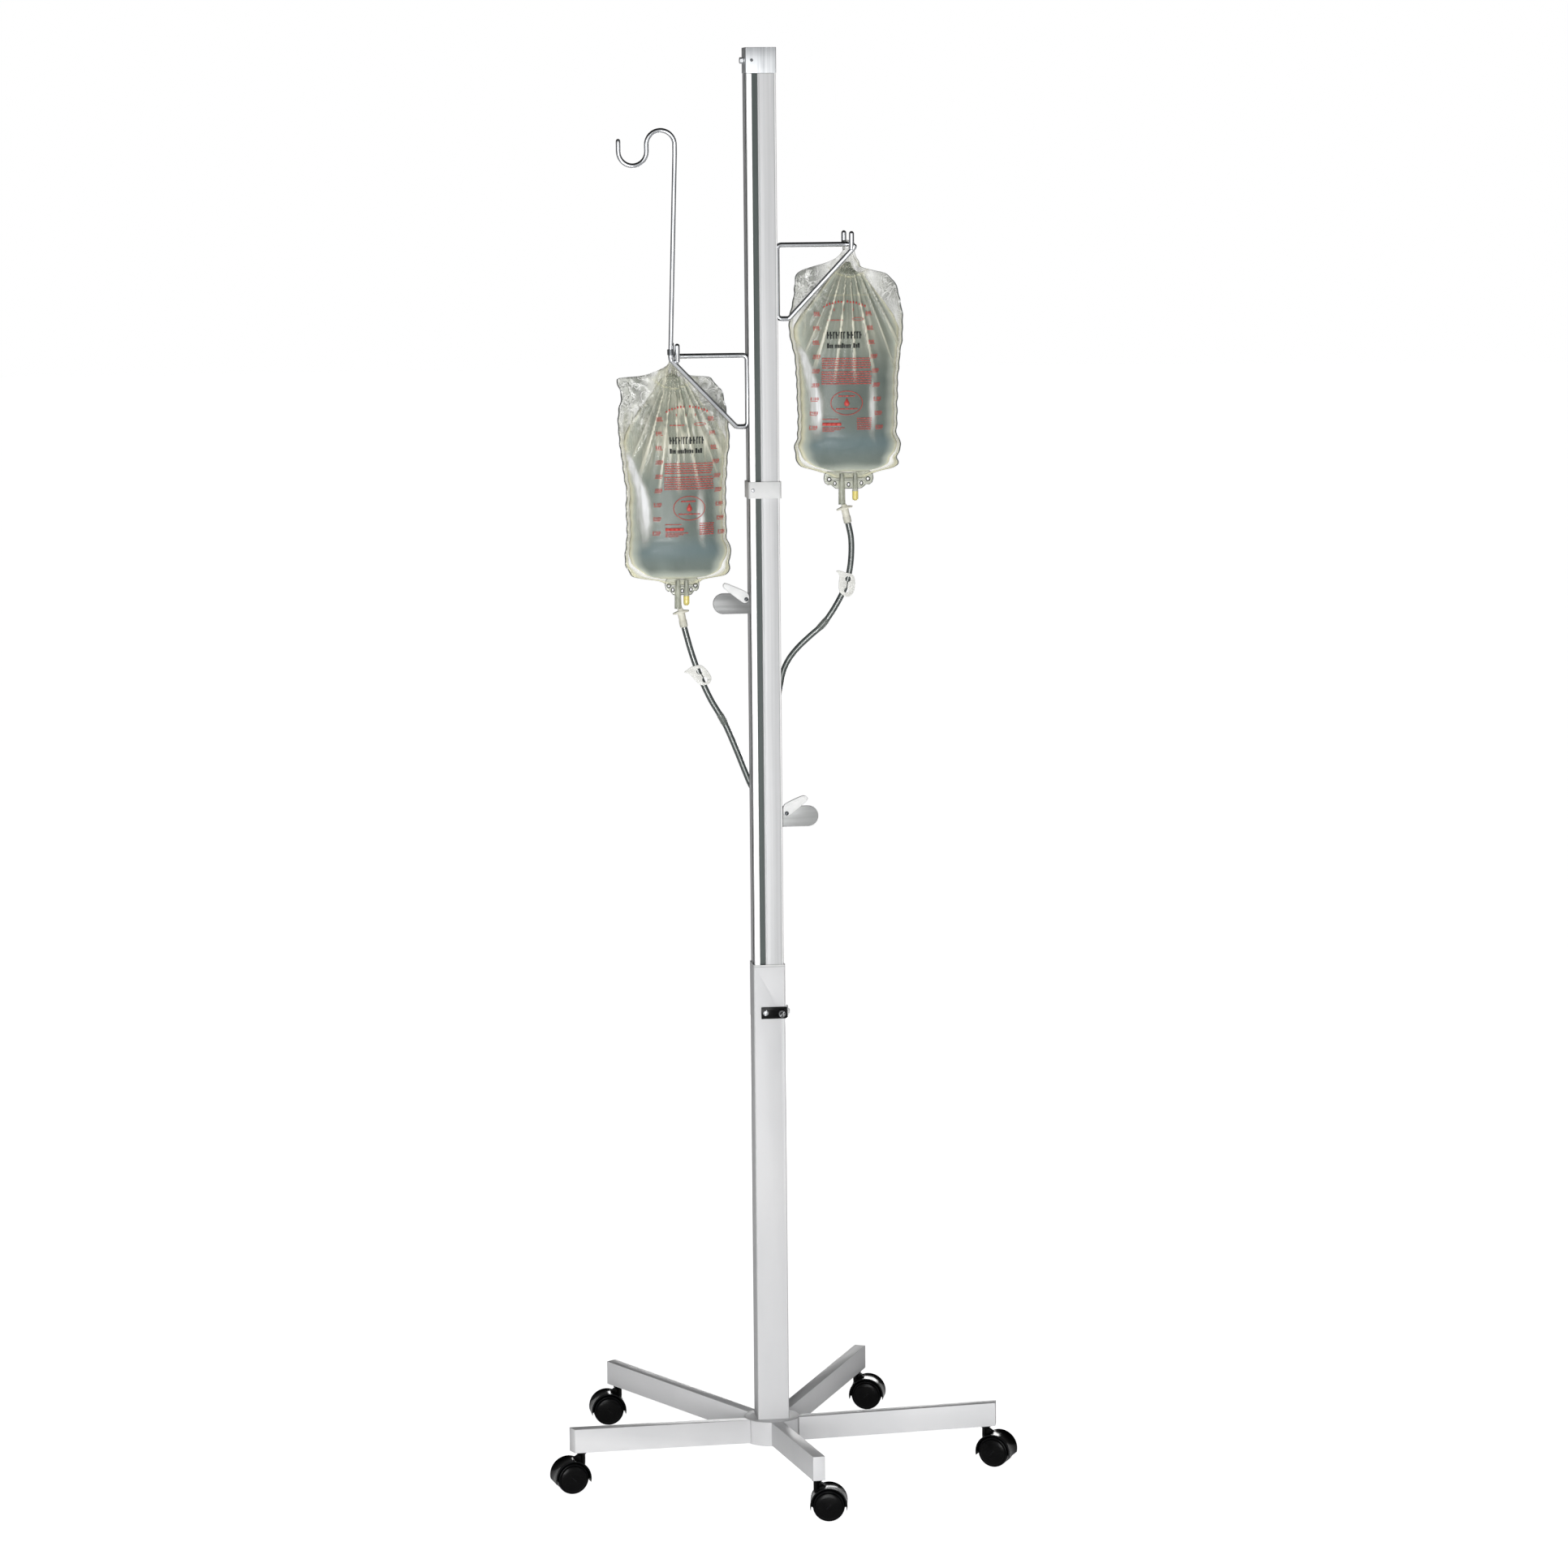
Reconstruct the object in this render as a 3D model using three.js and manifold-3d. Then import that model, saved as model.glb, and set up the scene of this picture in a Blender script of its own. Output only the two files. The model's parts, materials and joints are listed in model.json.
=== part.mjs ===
// An irrigation tower: a telescoping square column on five wheeled legs. Two bag hangers run in the
// side slots of the upper column. Each is counter-pulled by a brake handle on the same side, through
// a cable over a grooved guide in the cap, so a hanger moves half as far as its handle.
// Lengths are in millimetres, +Z is up and the front faces -Y. Everything is laid out about the
// column axis at floor level and then shifted so that the origin is the centre of the footprint.
import * as THREE from 'three';
import { mergeVertices } from 'three/addons/utils/BufferGeometryUtils.js';
import Module from 'manifold-3d';

const wasm = await Module();
wasm.setup();

// ---------------------------------------------------------------- driving dimensions
const GAP = 0.3; // clearance between neighbouring pieces
const FOOTPRINT_CENTRE = [8.212, -28.213]; // centre of the bounding box, seen from the column axis

const HUB_RADIUS = 45;
const HUB_BOTTOM = 33;
const HUB_TOP = 73;
const SPIGOT_TOP = 112; // the lower column stands on the hub, over this square spigot

const LEG_WIDTH = 19;
const LEG_HEIGHT = 38;
const LEG_WALL = 1.6;
const LEG_REACH = 363; // column axis to leg end
const LEG_INNER_BOTTOM = 35; // underside at the hub
const LEG_OUTER_BOTTOM = 65; // underside at the leg end: the legs rise outward
const STEM_RADIUS_ON_LEG = 347; // column axis to caster stem

const CASTER_TRAIL = 18; // stem axis to axle
const WHEEL_RADIUS = 25;
const HOOD_RADIUS = 29;
const HOOD_THICKNESS = 1.8;
const HOOD_HALF_WIDTH = 20;
const STEM_RADIUS = 4.8;

const LOWER_HALF = 25.4; // 2 inch square tube
const LOWER_WALL = 1.7;
const LOWER_TOP = 817;
const BUSH_HEIGHT = 3;
const TUBE_CORNER = 3; // outer corner radius of the square tubes
const INNER_CORNER = 1.5;
const LATCH_KNOB = [18.6, 738.5]; // x and z on the front face
const LATCH_SCREW = [-7, 740];
const LATCH_BOTTOM = 730;
const LATCH_TOP = 749;
const LATCH_PLATE = 2; // thickness of the latch's bracket and catch
const PLUNGER_HOLE = 3.1; // radius of the hole for the knob's plunger

const MAST_HALF = 23.4;
const MAST_BOTTOM = 480;
const MAST_WALL = 3;
const MAST_WEB = 1.5; // half thickness of the web between the two channels
const SLOT_Y = -10; // centre of the side slots
const SLOT_HALF = 6;
const CHANNEL_FRONT = -17.4;
const CHANNEL_BACK = 20.4;
const FRONT_GROOVE_X = -10.1;
const FRONT_GROOVE_HALF = 4.6;
const FRONT_GROOVE_DEPTH = 4;
const FINE_GROOVE = { left: -4, right: -3, depth: 0.8 };

const CAP_BOTTOM = 2223;
const CAP_TOP = 2263;
const CAP_HALF = 24.2;
const CAP_WALL = 3.8;
const COLLAR_BOTTOM = 1561;
const COLLAR_TOP = 1587;
const COLLAR_HALF = 26.2;
const COLLAR_CORNER = 4;
const COLLAR_SCREW = [-19, 1574]; // x and z on the front face
const CAP_SCREW_X = -14.5;

const BOLT_Z = 2243; // bolt through the cap that carries the cable guides
const GUIDE_X = 13;
const CABLE_RADIUS = 1.2;
const CABLE_PITCH_RADIUS = 8; // cable centre on its guide

const ROD_RADIUS = 4; // 5/16 inch rod
const ROD_X = 24.4; // hanger upright, half sunk in the side slot
const HANGER_BEND = 7;
const STUB_X = 42.5; // where the lower stub turns into the diagonal
const BAG_BAR_X = 138;
const BAR_BEND = 6;
const BAG_BAR_HALF = 41;
const PIN_RISE = 21;
const SLIDER_INNER = 4; // inner face of the carriages and sliders, from the column axis
const CARRIAGE_RISE = 20; // carriage top above the arm
const CABLE_PIN_RISE = 13; // cable pin above the arm
const CABLE_PIN_X = GUIDE_X - 4;
const CABLE_TURN = 4; // bend radius of the cable round its pin

const HOOK_ROD = 3.6;
const HOOK_RADIUS = 22;
const HOOK_ARCH = [-160.4, 2114]; // centres of the two bends, x and z
const HOOK_BOWL = [-204.3, 2104];
const HOOK_TIP = [-226.3, 2123.5];
const BAG_Y = 8; // mid-plane of both bags

const HANGERS = {
  left: { side: -1, arm: 1785.5, stub: 1673.7, curl: 148.3, curlRise: 8 },
  right: { side: 1, arm: 1956.8, stub: 1841.7, curl: 142.5, curlRise: 1 },
};
// Lever outlines as [x, z] about the pivot.
const TAPERED_LEVER = [
  [4.8, 4],
  [3, 9],
  [-1, 12.8],
  [-33, 27],
  [-36.5, 24.5],
  [-37, 20.5],
  [-34, 16.5],
  [-6, -5.5],
  [-1, -6.3],
  [3.6, -3.5],
];
const BROAD_LEVER = [
  [-5.4, -2.5],
  [-2, -4.6],
  [6, -3.5],
  [34, 20],
  [34.5, 23.5],
  [31, 27],
  [25.5, 28.3],
  [-2, 16],
  [-5.8, 11],
];
const HANDLES = {
  left: { side: -1, height: 1395, pivot: [-30.4, 1402], lever: TAPERED_LEVER },
  right: { side: 1, height: 1053.2, pivot: [31.1, 1058.9], lever: BROAD_LEVER },
};
const PLATE_HALF = 2; // half thickness of the handle plate
const LEVER_BACK = SLOT_Y - PLATE_HALF - GAP;
const LEVER_THICKNESS = 6.2;
const HANDLE_REACH = 82.6;
const HANDLE_HALF_HEIGHT = 16.5;
const HANDLE_ROOT = 16; // where the plate meets its slider
const SLIDER_OUTER = 20;
const SLIDER_HALF_HEIGHT = 24;

const OUTLET_RADIUS = 5.6;
const PORT_RADIUS = 5;
const TUBE_RADIUS = 4.75; // irrigation tubing, 9.5 mm over the wall
const SOCKET_RADIUS = 5.6; // sockets of the Y-connector
const JUNCTION = { x: 8, y: 36, top: 1044.5, bottom: 1000, arms: [1, 15] };
const END_CONNECTOR_X = 23.6;
const HANK = { x: 9, halfWidth: 19.5, y: 62.25, radius: 33.25, low: 805, high: 955 };

// ---------------------------------------------------------------- solids
const v3 = (x, y, z) => new THREE.Vector3(x, y, z);
const v2 = (x, y) => new THREE.Vector2(x, y);

function toSolid(geometry) {
  const bare = geometry.clone();
  bare.deleteAttribute('normal');
  bare.deleteAttribute('uv');
  const welded = mergeVertices(bare, 1e-4);
  const faces = new wasm.Mesh({
    numProp: 3,
    vertProperties: new Float32Array(welded.attributes.position.array),
    triVerts: new Uint32Array(welded.index.array),
  });
  return new wasm.Manifold(faces);
}

function toGeometry(solid) {
  const faces = solid.getMesh();
  const geometry = new THREE.BufferGeometry();
  geometry.setAttribute('position', new THREE.BufferAttribute(faces.vertProperties, 3));
  geometry.setIndex(new THREE.BufferAttribute(faces.triVerts, 1));
  geometry.computeVertexNormals();
  return geometry;
}

function join(...geometries) {
  return toGeometry(geometries.map(toSolid).reduce((whole, next) => whole.add(next)));
}

function cut(geometry, ...tools) {
  return toGeometry(tools.map(toSolid).reduce((rest, tool) => rest.subtract(tool), toSolid(geometry)));
}

// A box between two opposite corners.
function block(low, high) {
  const size = high.map((value, i) => value - low[i]);
  const middle = high.map((value, i) => (value + low[i]) / 2);
  return new THREE.BoxGeometry(...size).translate(...middle);
}

// An outline in the ground plane, raised from one height to another.
function upright(shape, bottom, top, curveSegments = 4) {
  const raised = new THREE.ExtrudeGeometry(shape, {
    depth: top - bottom,
    bevelEnabled: false,
    curveSegments,
  });
  return raised.translate(0, 0, bottom);
}

// An outline in the X-Z plane, given thickness from its front face to its back face.
function facing(shape, front, back, curveSegments = 8) {
  const slab = new THREE.ExtrudeGeometry(shape, {
    depth: back - front,
    bevelEnabled: false,
    curveSegments,
  });
  return slab.rotateX(Math.PI / 2).translate(0, back, 0);
}

// A turned body about Z from a profile of [radius, height] pairs that starts and ends on the axis.
function turned(profile, sides) {
  return new THREE.LatheGeometry(profile.map(([r, z]) => v2(r, z)), sides).rotateX(Math.PI / 2);
}

function cylinder(radius, bottom, top, sides = 12) {
  return turned([[0, bottom], [radius, bottom], [radius, top], [0, top]], sides);
}

// Points a body built along +Z in a new direction, with its zero level at the given place.
function aimed(geometry, place, direction) {
  const turn = new THREE.Quaternion().setFromUnitVectors(v3(0, 0, 1), direction.clone().normalize());
  return geometry.applyQuaternion(turn).translate(place.x, place.y, place.z);
}

function roundedSquare(half, radius) {
  const inner = half - radius;
  const shape = new THREE.Shape();
  shape.moveTo(half, -inner);
  shape.absarc(inner, inner, radius, 0, Math.PI / 2);
  shape.absarc(-inner, inner, radius, Math.PI / 2, Math.PI);
  shape.absarc(-inner, -inner, radius, Math.PI, Math.PI * 1.5);
  shape.absarc(inner, -inner, radius, Math.PI * 1.5, Math.PI * 2);
  return shape;
}

function polygon(points) {
  return new THREE.Shape(points.map(([x, y]) => v2(x, y)));
}

// A path through given stations, so that straight lengths need no rings in between.
class StationPath extends THREE.Curve {
  constructor(stations) {
    super();
    this.stations = stations;
  }

  index(u) {
    return Math.round(u * (this.stations.length - 1));
  }

  getPointAt(u, target = new THREE.Vector3()) {
    return target.copy(this.stations[this.index(u)]);
  }

  getTangentAt(u, target = new THREE.Vector3()) {
    const i = this.index(u);
    const here = this.stations[i];
    const before = this.stations[Math.max(i - 1, 0)];
    const after = this.stations[Math.min(i + 1, this.stations.length - 1)];
    const into = here.clone().sub(before).normalize();
    const out = after.clone().sub(here).normalize();
    return target.copy(into.add(out)).normalize();
  }
}

// A round bar along the stations.
function bar(stations, radius, sides = 8) {
  const corners = Array.from({ length: sides }, (_, k) => {
    const angle = (k / sides) * Math.PI * 2;
    return [radius * Math.cos(angle), radius * Math.sin(angle)];
  });
  return new THREE.ExtrudeGeometry(polygon(corners), {
    steps: stations.length - 1,
    extrudePath: new StationPath(stations),
    bevelEnabled: false,
  });
}

// Replaces each inner corner of a polyline by an arc of the given bend radius.
function bent(corners, radius, steps = 5) {
  const stations = [corners[0]];
  for (let i = 1; i < corners.length - 1; i += 1) {
    const into = corners[i].clone().sub(corners[i - 1]).normalize();
    const out = corners[i + 1].clone().sub(corners[i]).normalize();
    const turn = into.angleTo(out);
    const inward = out.clone().addScaledVector(into, -out.dot(into)).normalize();
    const start = corners[i].clone().addScaledVector(into, -radius * Math.tan(turn / 2));
    for (let k = 0; k <= steps; k += 1) {
      const angle = (turn * k) / steps;
      const station = start.clone();
      station.addScaledVector(into, radius * Math.sin(angle));
      station.addScaledVector(inward, radius * (1 - Math.cos(angle)));
      stations.push(station);
    }
  }
  stations.push(corners[corners.length - 1]);
  return stations;
}

// Stations of an arc in a plane of constant y, angles in degrees from +X toward +Z.
function arcAt(centre, y, radius, from, to, steps) {
  return Array.from({ length: steps + 1 }, (_, k) => {
    const angle = THREE.MathUtils.degToRad(from + ((to - from) * k) / steps);
    return v3(centre[0] + radius * Math.cos(angle), y, centre[1] + radius * Math.sin(angle));
  });
}

// A smooth curve through a few points, at even spacing.
function smooth(points, spacing) {
  const curve = new THREE.CatmullRomCurve3(points.map((p) => v3(...p)), false, 'centripetal');
  return curve.getSpacedPoints(Math.round(curve.getLength() / spacing));
}

// ---------------------------------------------------------------- materials
function material(color, roughness, metalness) {
  return () => new THREE.MeshStandardMaterial({ color, roughness, metalness });
}
const paint = material(0xdcdcdc, 0.45, 0.2);
const anodised = material(0xd8d9da, 0.38, 0.85);
const brushed = material(0xb4b5b6, 0.35, 0.9);
const chromed = material(0xe4e6e8, 0.12, 1.0);
const steel = material(0xb9bcc0, 0.3, 0.9);
const whiteEnamel = material(0xefefec, 0.4, 0.0);
const blackPlastic = material(0x101011, 0.25, 0.0);
const blackRubber = material(0x17171a, 0.35, 0.0);
const greyPlastic = material(0x9a9c9d, 0.5, 0.0);
const bagFilm = material(0xb9bdb0, 0.2, 0.0);
const portPlastic = material(0xdcd7a8, 0.35, 0.0);
const ivoryPlastic = material(0xe9e7de, 0.4, 0.0);
const clearTube = material(0x8c918f, 0.2, 0.0);
const cord = material(0xd6d2c4, 0.7, 0.0);

const model = new THREE.Group();
model.name = 'irrigation_tower';

function place(name, geometry, makeMaterial) {
  geometry.translate(-FOOTPRINT_CENTRE[0], -FOOTPRINT_CENTRE[1], 0);
  const mesh = new THREE.Mesh(geometry, makeMaterial());
  mesh.name = name;
  model.add(mesh);
}

// ---------------------------------------------------------------- base
function hub() {
  const body = turned(
    [
      [0, HUB_BOTTOM],
      [HUB_RADIUS - 1, HUB_BOTTOM],
      [HUB_RADIUS, HUB_BOTTOM + 1],
      [HUB_RADIUS, HUB_TOP - 1],
      [HUB_RADIUS - 1, HUB_TOP],
      [0, HUB_TOP],
    ],
    40,
  );
  const spigot = upright(roundedSquare(LOWER_HALF - LOWER_WALL - GAP, INNER_CORNER), HUB_TOP - 2, SPIGOT_TOP);
  return join(body, spigot);
}

// Height of a leg's underside at a distance from the column axis.
function legBottom(distance) {
  const slope = (LEG_OUTER_BOTTOM - LEG_INNER_BOTTOM) / (LEG_REACH - HUB_RADIUS);
  return LEG_INNER_BOTTOM + slope * (distance - HUB_RADIUS);
}

function legBlank(start, end, inset) {
  return polygon([
    [start, legBottom(start) + inset],
    [end, legBottom(end) + inset],
    [end, legBottom(end) + LEG_HEIGHT - inset],
    [start, legBottom(start) + LEG_HEIGHT - inset],
  ]);
}

function leg(direction) {
  const half = LEG_WIDTH / 2;
  const inner = HUB_RADIUS + GAP;
  const outside = facing(legBlank(inner, LEG_REACH, 0), -half, half);
  const inside = facing(
    legBlank(inner - 1, LEG_REACH - LEG_WALL, LEG_WALL),
    LEG_WALL - half,
    half - LEG_WALL,
  );
  const stemHole = cylinder(STEM_RADIUS + 0.4, LEG_OUTER_BOTTOM - 5, LEG_OUTER_BOTTOM + 5);
  stemHole.translate(STEM_RADIUS_ON_LEG, 0, 0);
  return cut(outside, inside, stemHole).rotateZ(THREE.MathUtils.degToRad(direction));
}

// A caster is built with its stem at the origin and its axle behind it along +X.
function setCaster(geometry, legDirection, trailDirection) {
  const along = THREE.MathUtils.degToRad(legDirection);
  geometry.rotateZ(THREE.MathUtils.degToRad(trailDirection));
  const x = STEM_RADIUS_ON_LEG * Math.cos(along);
  const y = STEM_RADIUS_ON_LEG * Math.sin(along);
  return geometry.translate(x, y, 0);
}

function casterHood() {
  const skirt = THREE.MathUtils.degToRad(12);
  const inner = HOOD_RADIUS - HOOD_THICKNESS;
  const arch = new THREE.Shape();
  arch.absarc(0, 0, HOOD_RADIUS, -skirt, Math.PI + skirt);
  arch.absarc(0, 0, inner, Math.PI + skirt, -skirt, true);
  const roof = facing(arch, -HOOD_HALF_WIDTH, HOOD_HALF_WIDTH, 6);

  const webOutline = new THREE.Shape();
  webOutline.absarc(0, 0, HOOD_RADIUS - 1, -skirt, Math.PI + skirt);
  webOutline.lineTo(-8, -13);
  webOutline.lineTo(8, -13);
  webOutline.holes.push(new THREE.Path().absarc(0, 0, 3.4, 0, Math.PI * 2));
  const web = facing(webOutline, -2, 2, 6);

  const boss = turned(
    [[0, 15], [6, 15], [6, 35.8], [8, 35.8], [8, 37.3], [STEM_RADIUS, 37.3], [STEM_RADIUS, 55], [0, 55]],
    12,
  ).translate(-CASTER_TRAIL, 0, 0);
  const wheelWell = cylinder(inner, -30, 30, 20).rotateX(Math.PI / 2);
  const hood = join(cut(boss, wheelWell), roof, web);
  return hood.translate(CASTER_TRAIL, 0, WHEEL_RADIUS);
}

// Both wheels and the axle between them, turned about the axle.
function wheelPair() {
  const half = [
    [3, 2.4],
    [23, 2.4],
    [WHEEL_RADIUS, 5],
    [WHEEL_RADIUS, 15],
    [23.9, 18.4],
    [21, 20],
    [11, 21.4],
    [0, 21.9],
  ];
  const mirrored = half.map(([r, z]) => [r, -z]).reverse();
  const pair = turned([...mirrored, ...half], 16);
  return pair.rotateX(Math.PI / 2).translate(CASTER_TRAIL, 0, WHEEL_RADIUS);
}

function lowerTube() {
  const outline = roundedSquare(LOWER_HALF, TUBE_CORNER);
  outline.holes.push(roundedSquare(LOWER_HALF - LOWER_WALL, INNER_CORNER));
  const tube = upright(outline, HUB_TOP + GAP, LOWER_TOP - BUSH_HEIGHT - GAP);
  const knobHole = cylinder(PLUNGER_HOLE, -2, 6).rotateX(Math.PI / 2);
  knobHole.translate(LATCH_KNOB[0], -22, LATCH_KNOB[1]);
  return cut(tube, knobHole);
}

function tubeEndBush() {
  const outline = roundedSquare(LOWER_HALF, TUBE_CORNER);
  outline.holes.push(roundedSquare(MAST_HALF + 0.4, INNER_CORNER));
  return upright(outline, LOWER_TOP - BUSH_HEIGHT, LOWER_TOP);
}

// A black plate across the front that wraps the right-hand corner.
function latchBracket() {
  const back = -LOWER_HALF - GAP;
  const side = LOWER_HALF + GAP;
  const front = back - LATCH_PLATE;
  const plate = block([-14, front, LATCH_BOTTOM], [side + LATCH_PLATE, back, LATCH_TOP]);
  const wrap = block([side, front, LATCH_BOTTOM], [side + LATCH_PLATE, -8, LATCH_TOP]);
  const hole = cylinder(PLUNGER_HOLE, -6, 6).rotateX(Math.PI / 2);
  hole.translate(LATCH_KNOB[0], back, LATCH_KNOB[1]);
  return cut(join(plate, wrap), hole);
}

function latchScrew() {
  const head = turned([[0, 0], [4.7, 0], [4.2, 1.6], [2.6, 2.6], [0, 2.9]], 16);
  const front = v3(LATCH_SCREW[0], -LOWER_HALF - LATCH_PLATE - 2 * GAP, LATCH_SCREW[1]);
  return aimed(head, front, v3(0, -1, 0));
}

// The knob and its plunger, which reaches through the bracket and the tube wall.
function latchKnob() {
  const knob = turned(
    [[0, -3.6], [2.4, -3.6], [2.4, 0.4], [5.2, 0.4], [5.6, 1.4], [5.6, 6.4], [4.6, 7.6], [0, 7.8]],
    12,
  );
  const front = v3(LATCH_KNOB[0], -LOWER_HALF - LATCH_PLATE - GAP, LATCH_KNOB[1]);
  return aimed(knob, front, v3(0, -1, 0));
}

function latchCatch() {
  const x = LOWER_HALF + LATCH_PLATE + 2 * GAP;
  const plate = block([x, -22, LATCH_BOTTOM + 1], [x + LATCH_PLATE, -10, LATCH_TOP]);
  const button = turned([[0, -1], [4, -1], [4, 2], [3, 3], [0, 3.2]], 14);
  return join(plate, aimed(button, v3(x + LATCH_PLATE, -16, 740), v3(1, 0, 0)));
}

// ---------------------------------------------------------------- mast
function mastSection() {
  const face = MAST_HALF;
  const slotBack = SLOT_Y + SLOT_HALF;
  const slotFront = SLOT_Y - SLOT_HALF;
  const wall = MAST_HALF - MAST_WALL;
  const grooveBottom = FRONT_GROOVE_DEPTH - face;
  const left = FRONT_GROOVE_X - FRONT_GROOVE_HALF;
  const right = FRONT_GROOVE_X + FRONT_GROOVE_HALF;
  const corner = 1;
  const channel = (side) => [
    [side * face, slotFront],
    [side * wall, slotFront],
    [side * wall, CHANNEL_FRONT],
    [side * MAST_WEB, CHANNEL_FRONT],
    [side * MAST_WEB, CHANNEL_BACK],
    [side * wall, CHANNEL_BACK],
    [side * wall, slotBack],
    [side * face, slotBack],
  ];
  return polygon([
    [left, -face],
    [left, grooveBottom],
    [right, grooveBottom],
    [right, -face],
    [FINE_GROOVE.left, -face],
    [FINE_GROOVE.left, FINE_GROOVE.depth - face],
    [FINE_GROOVE.right, FINE_GROOVE.depth - face],
    [FINE_GROOVE.right, -face],
    [face - corner, -face],
    [face, corner - face],
    ...channel(1),
    [face, face - corner],
    [face - corner, face],
    [corner - face, face],
    [-face, face - corner],
    ...channel(-1).reverse(),
    [-face, corner - face],
    [corner - face, -face],
  ]);
}

function mast() {
  return upright(mastSection(), MAST_BOTTOM, CAP_BOTTOM - GAP);
}

function cap() {
  const inner = CAP_HALF - CAP_WALL;
  const shell = upright(roundedSquare(CAP_HALF, 2), CAP_BOTTOM, CAP_TOP);
  const inside = block([-inner, -inner, CAP_BOTTOM - 1], [inner, inner, CAP_TOP - CAP_WALL]);
  const boltHole = cylinder(3.4, -30, 30).rotateY(Math.PI / 2).translate(0, 0, BOLT_Z);
  return cut(shell, inside, boltHole);
}

// A bolt through the cap that carries both cable guides, head to the left.
function guideBolt() {
  const bolt = turned(
    [
      [0, -CAP_HALF - 0.6],
      [3, -CAP_HALF - 0.6],
      [3, CAP_HALF + GAP],
      [5, CAP_HALF + GAP],
      [5, CAP_HALF + 5.8],
      [4.2, CAP_HALF + 6.6],
      [0, CAP_HALF + 6.6],
    ],
    12,
  );
  return aimed(bolt, v3(0, 0, BOLT_Z), v3(-1, 0, 0));
}

function capScrew() {
  const head = turned([[0, 0], [2.4, 0], [2.1, 0.9], [0, 1.2]], 12);
  return aimed(head, v3(CAP_SCREW_X, -CAP_HALF - GAP, BOLT_Z), v3(0, -1, 0));
}

// A grooved nylon ring, clamped on the bolt, over which the cable slides.
function cableGuide(side) {
  const groove = CABLE_PITCH_RADIUS - CABLE_RADIUS - GAP;
  const ring = new THREE.LatheGeometry(
    [
      v2(3.3, -2.6),
      v2(9.4, -2.6),
      v2(9.4, -1.8),
      v2(groove, -1.5),
      v2(groove, 1.5),
      v2(9.4, 1.8),
      v2(9.4, 2.6),
      v2(3.3, 2.6),
      v2(3.3, -2.6),
    ],
    18,
  );
  return ring.rotateZ(Math.PI / 2).translate(side * GUIDE_X, 0, BOLT_Z);
}

// The stop strap between the hanger zone above and the handle zone below.
function collar() {
  const outline = roundedSquare(COLLAR_HALF, COLLAR_CORNER);
  outline.holes.push(roundedSquare(MAST_HALF + GAP, 0.6));
  return upright(outline, COLLAR_BOTTOM, COLLAR_TOP, 5);
}

function collarScrew() {
  const head = turned([[0, 0], [3, 0], [2.7, 1], [0, 1.5]], 14);
  return aimed(head, v3(COLLAR_SCREW[0], -COLLAR_HALF - GAP, COLLAR_SCREW[1]), v3(0, -1, 0));
}

// ---------------------------------------------------------------- hangers
function hangerFrame({ side, arm, stub, curl, curlRise }) {
  const loop = bent(
    [
      v3(side * BAG_BAR_X, SLOT_Y, arm),
      v3(side * ROD_X, SLOT_Y, arm),
      v3(side * ROD_X, SLOT_Y, stub),
      v3(side * STUB_X, SLOT_Y, stub),
      v3(side * curl, -BAG_BAR_HALF, arm - 4),
      v3(side * curl, -BAG_BAR_HALF, arm + curlRise),
    ],
    HANGER_BEND,
    4,
  );
  const bagBar = bent(
    [
      v3(side * BAG_BAR_X, -BAG_BAR_HALF, arm),
      v3(side * BAG_BAR_X, BAG_BAR_HALF, arm),
      v3(side * BAG_BAR_X, BAG_BAR_HALF, arm + PIN_RISE - ROD_RADIUS),
    ],
    BAR_BEND,
    4,
  );
  const tip = arm + PIN_RISE;
  const frontPin = turned(
    [[0, arm - 12], [ROD_RADIUS, arm - 12], [ROD_RADIUS, tip - 3], [2.8, tip - 0.9], [0, tip]],
    8,
  ).translate(side * BAG_BAR_X, -BAG_BAR_HALF, 0);
  const rearTip = turned(
    [[0, tip - 6], [ROD_RADIUS, tip - 6], [ROD_RADIUS, tip - 3], [2.8, tip - 0.9], [0, tip]],
    8,
  ).translate(side * BAG_BAR_X, BAG_BAR_HALF, 0);
  return join(bar(loop, ROD_RADIUS), bar(bagBar, ROD_RADIUS), frontPin, rearTip);
}

// The slider that runs inside the column channel behind the hanger upright. The cable turns round
// the pin between its two upper cheeks.
function carriage({ side, arm, stub }) {
  const top = arm + CARRIAGE_RISE;
  const outer = MAST_HALF - MAST_WALL - 0.4;
  const low = Math.min(side * SLIDER_INNER, side * outer);
  const high = Math.max(side * SLIDER_INNER, side * outer);
  const body = block([low, -17, stub - 8], [high, 2, top]);
  const cavity = block([low - 1, -10.4, arm + 4], [high + 1, -5.6, top + 1]);
  const pin = cylinder(2.4, -1, 8, 10).rotateX(Math.PI / 2);
  pin.translate(side * CABLE_PIN_X, -4, arm + CABLE_PIN_RISE);
  return join(cut(body, cavity), pin);
}

function hangerCable({ side, arm }) {
  const outer = side * GUIDE_X;
  const inner = side * (GUIDE_X - 2 * CABLE_TURN);
  const y = -CABLE_PITCH_RADIUS;
  const centre = [side * CABLE_PIN_X, arm + CABLE_PIN_RISE];
  const [from, to] = side < 0 ? [180, 360] : [0, -180];
  const bend = arcAt(centre, y, CABLE_TURN, from, to, 6);
  return bar([v3(outer, y, BOLT_Z), ...bend, v3(inner, y, BOLT_Z)], CABLE_RADIUS, 6);
}

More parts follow.
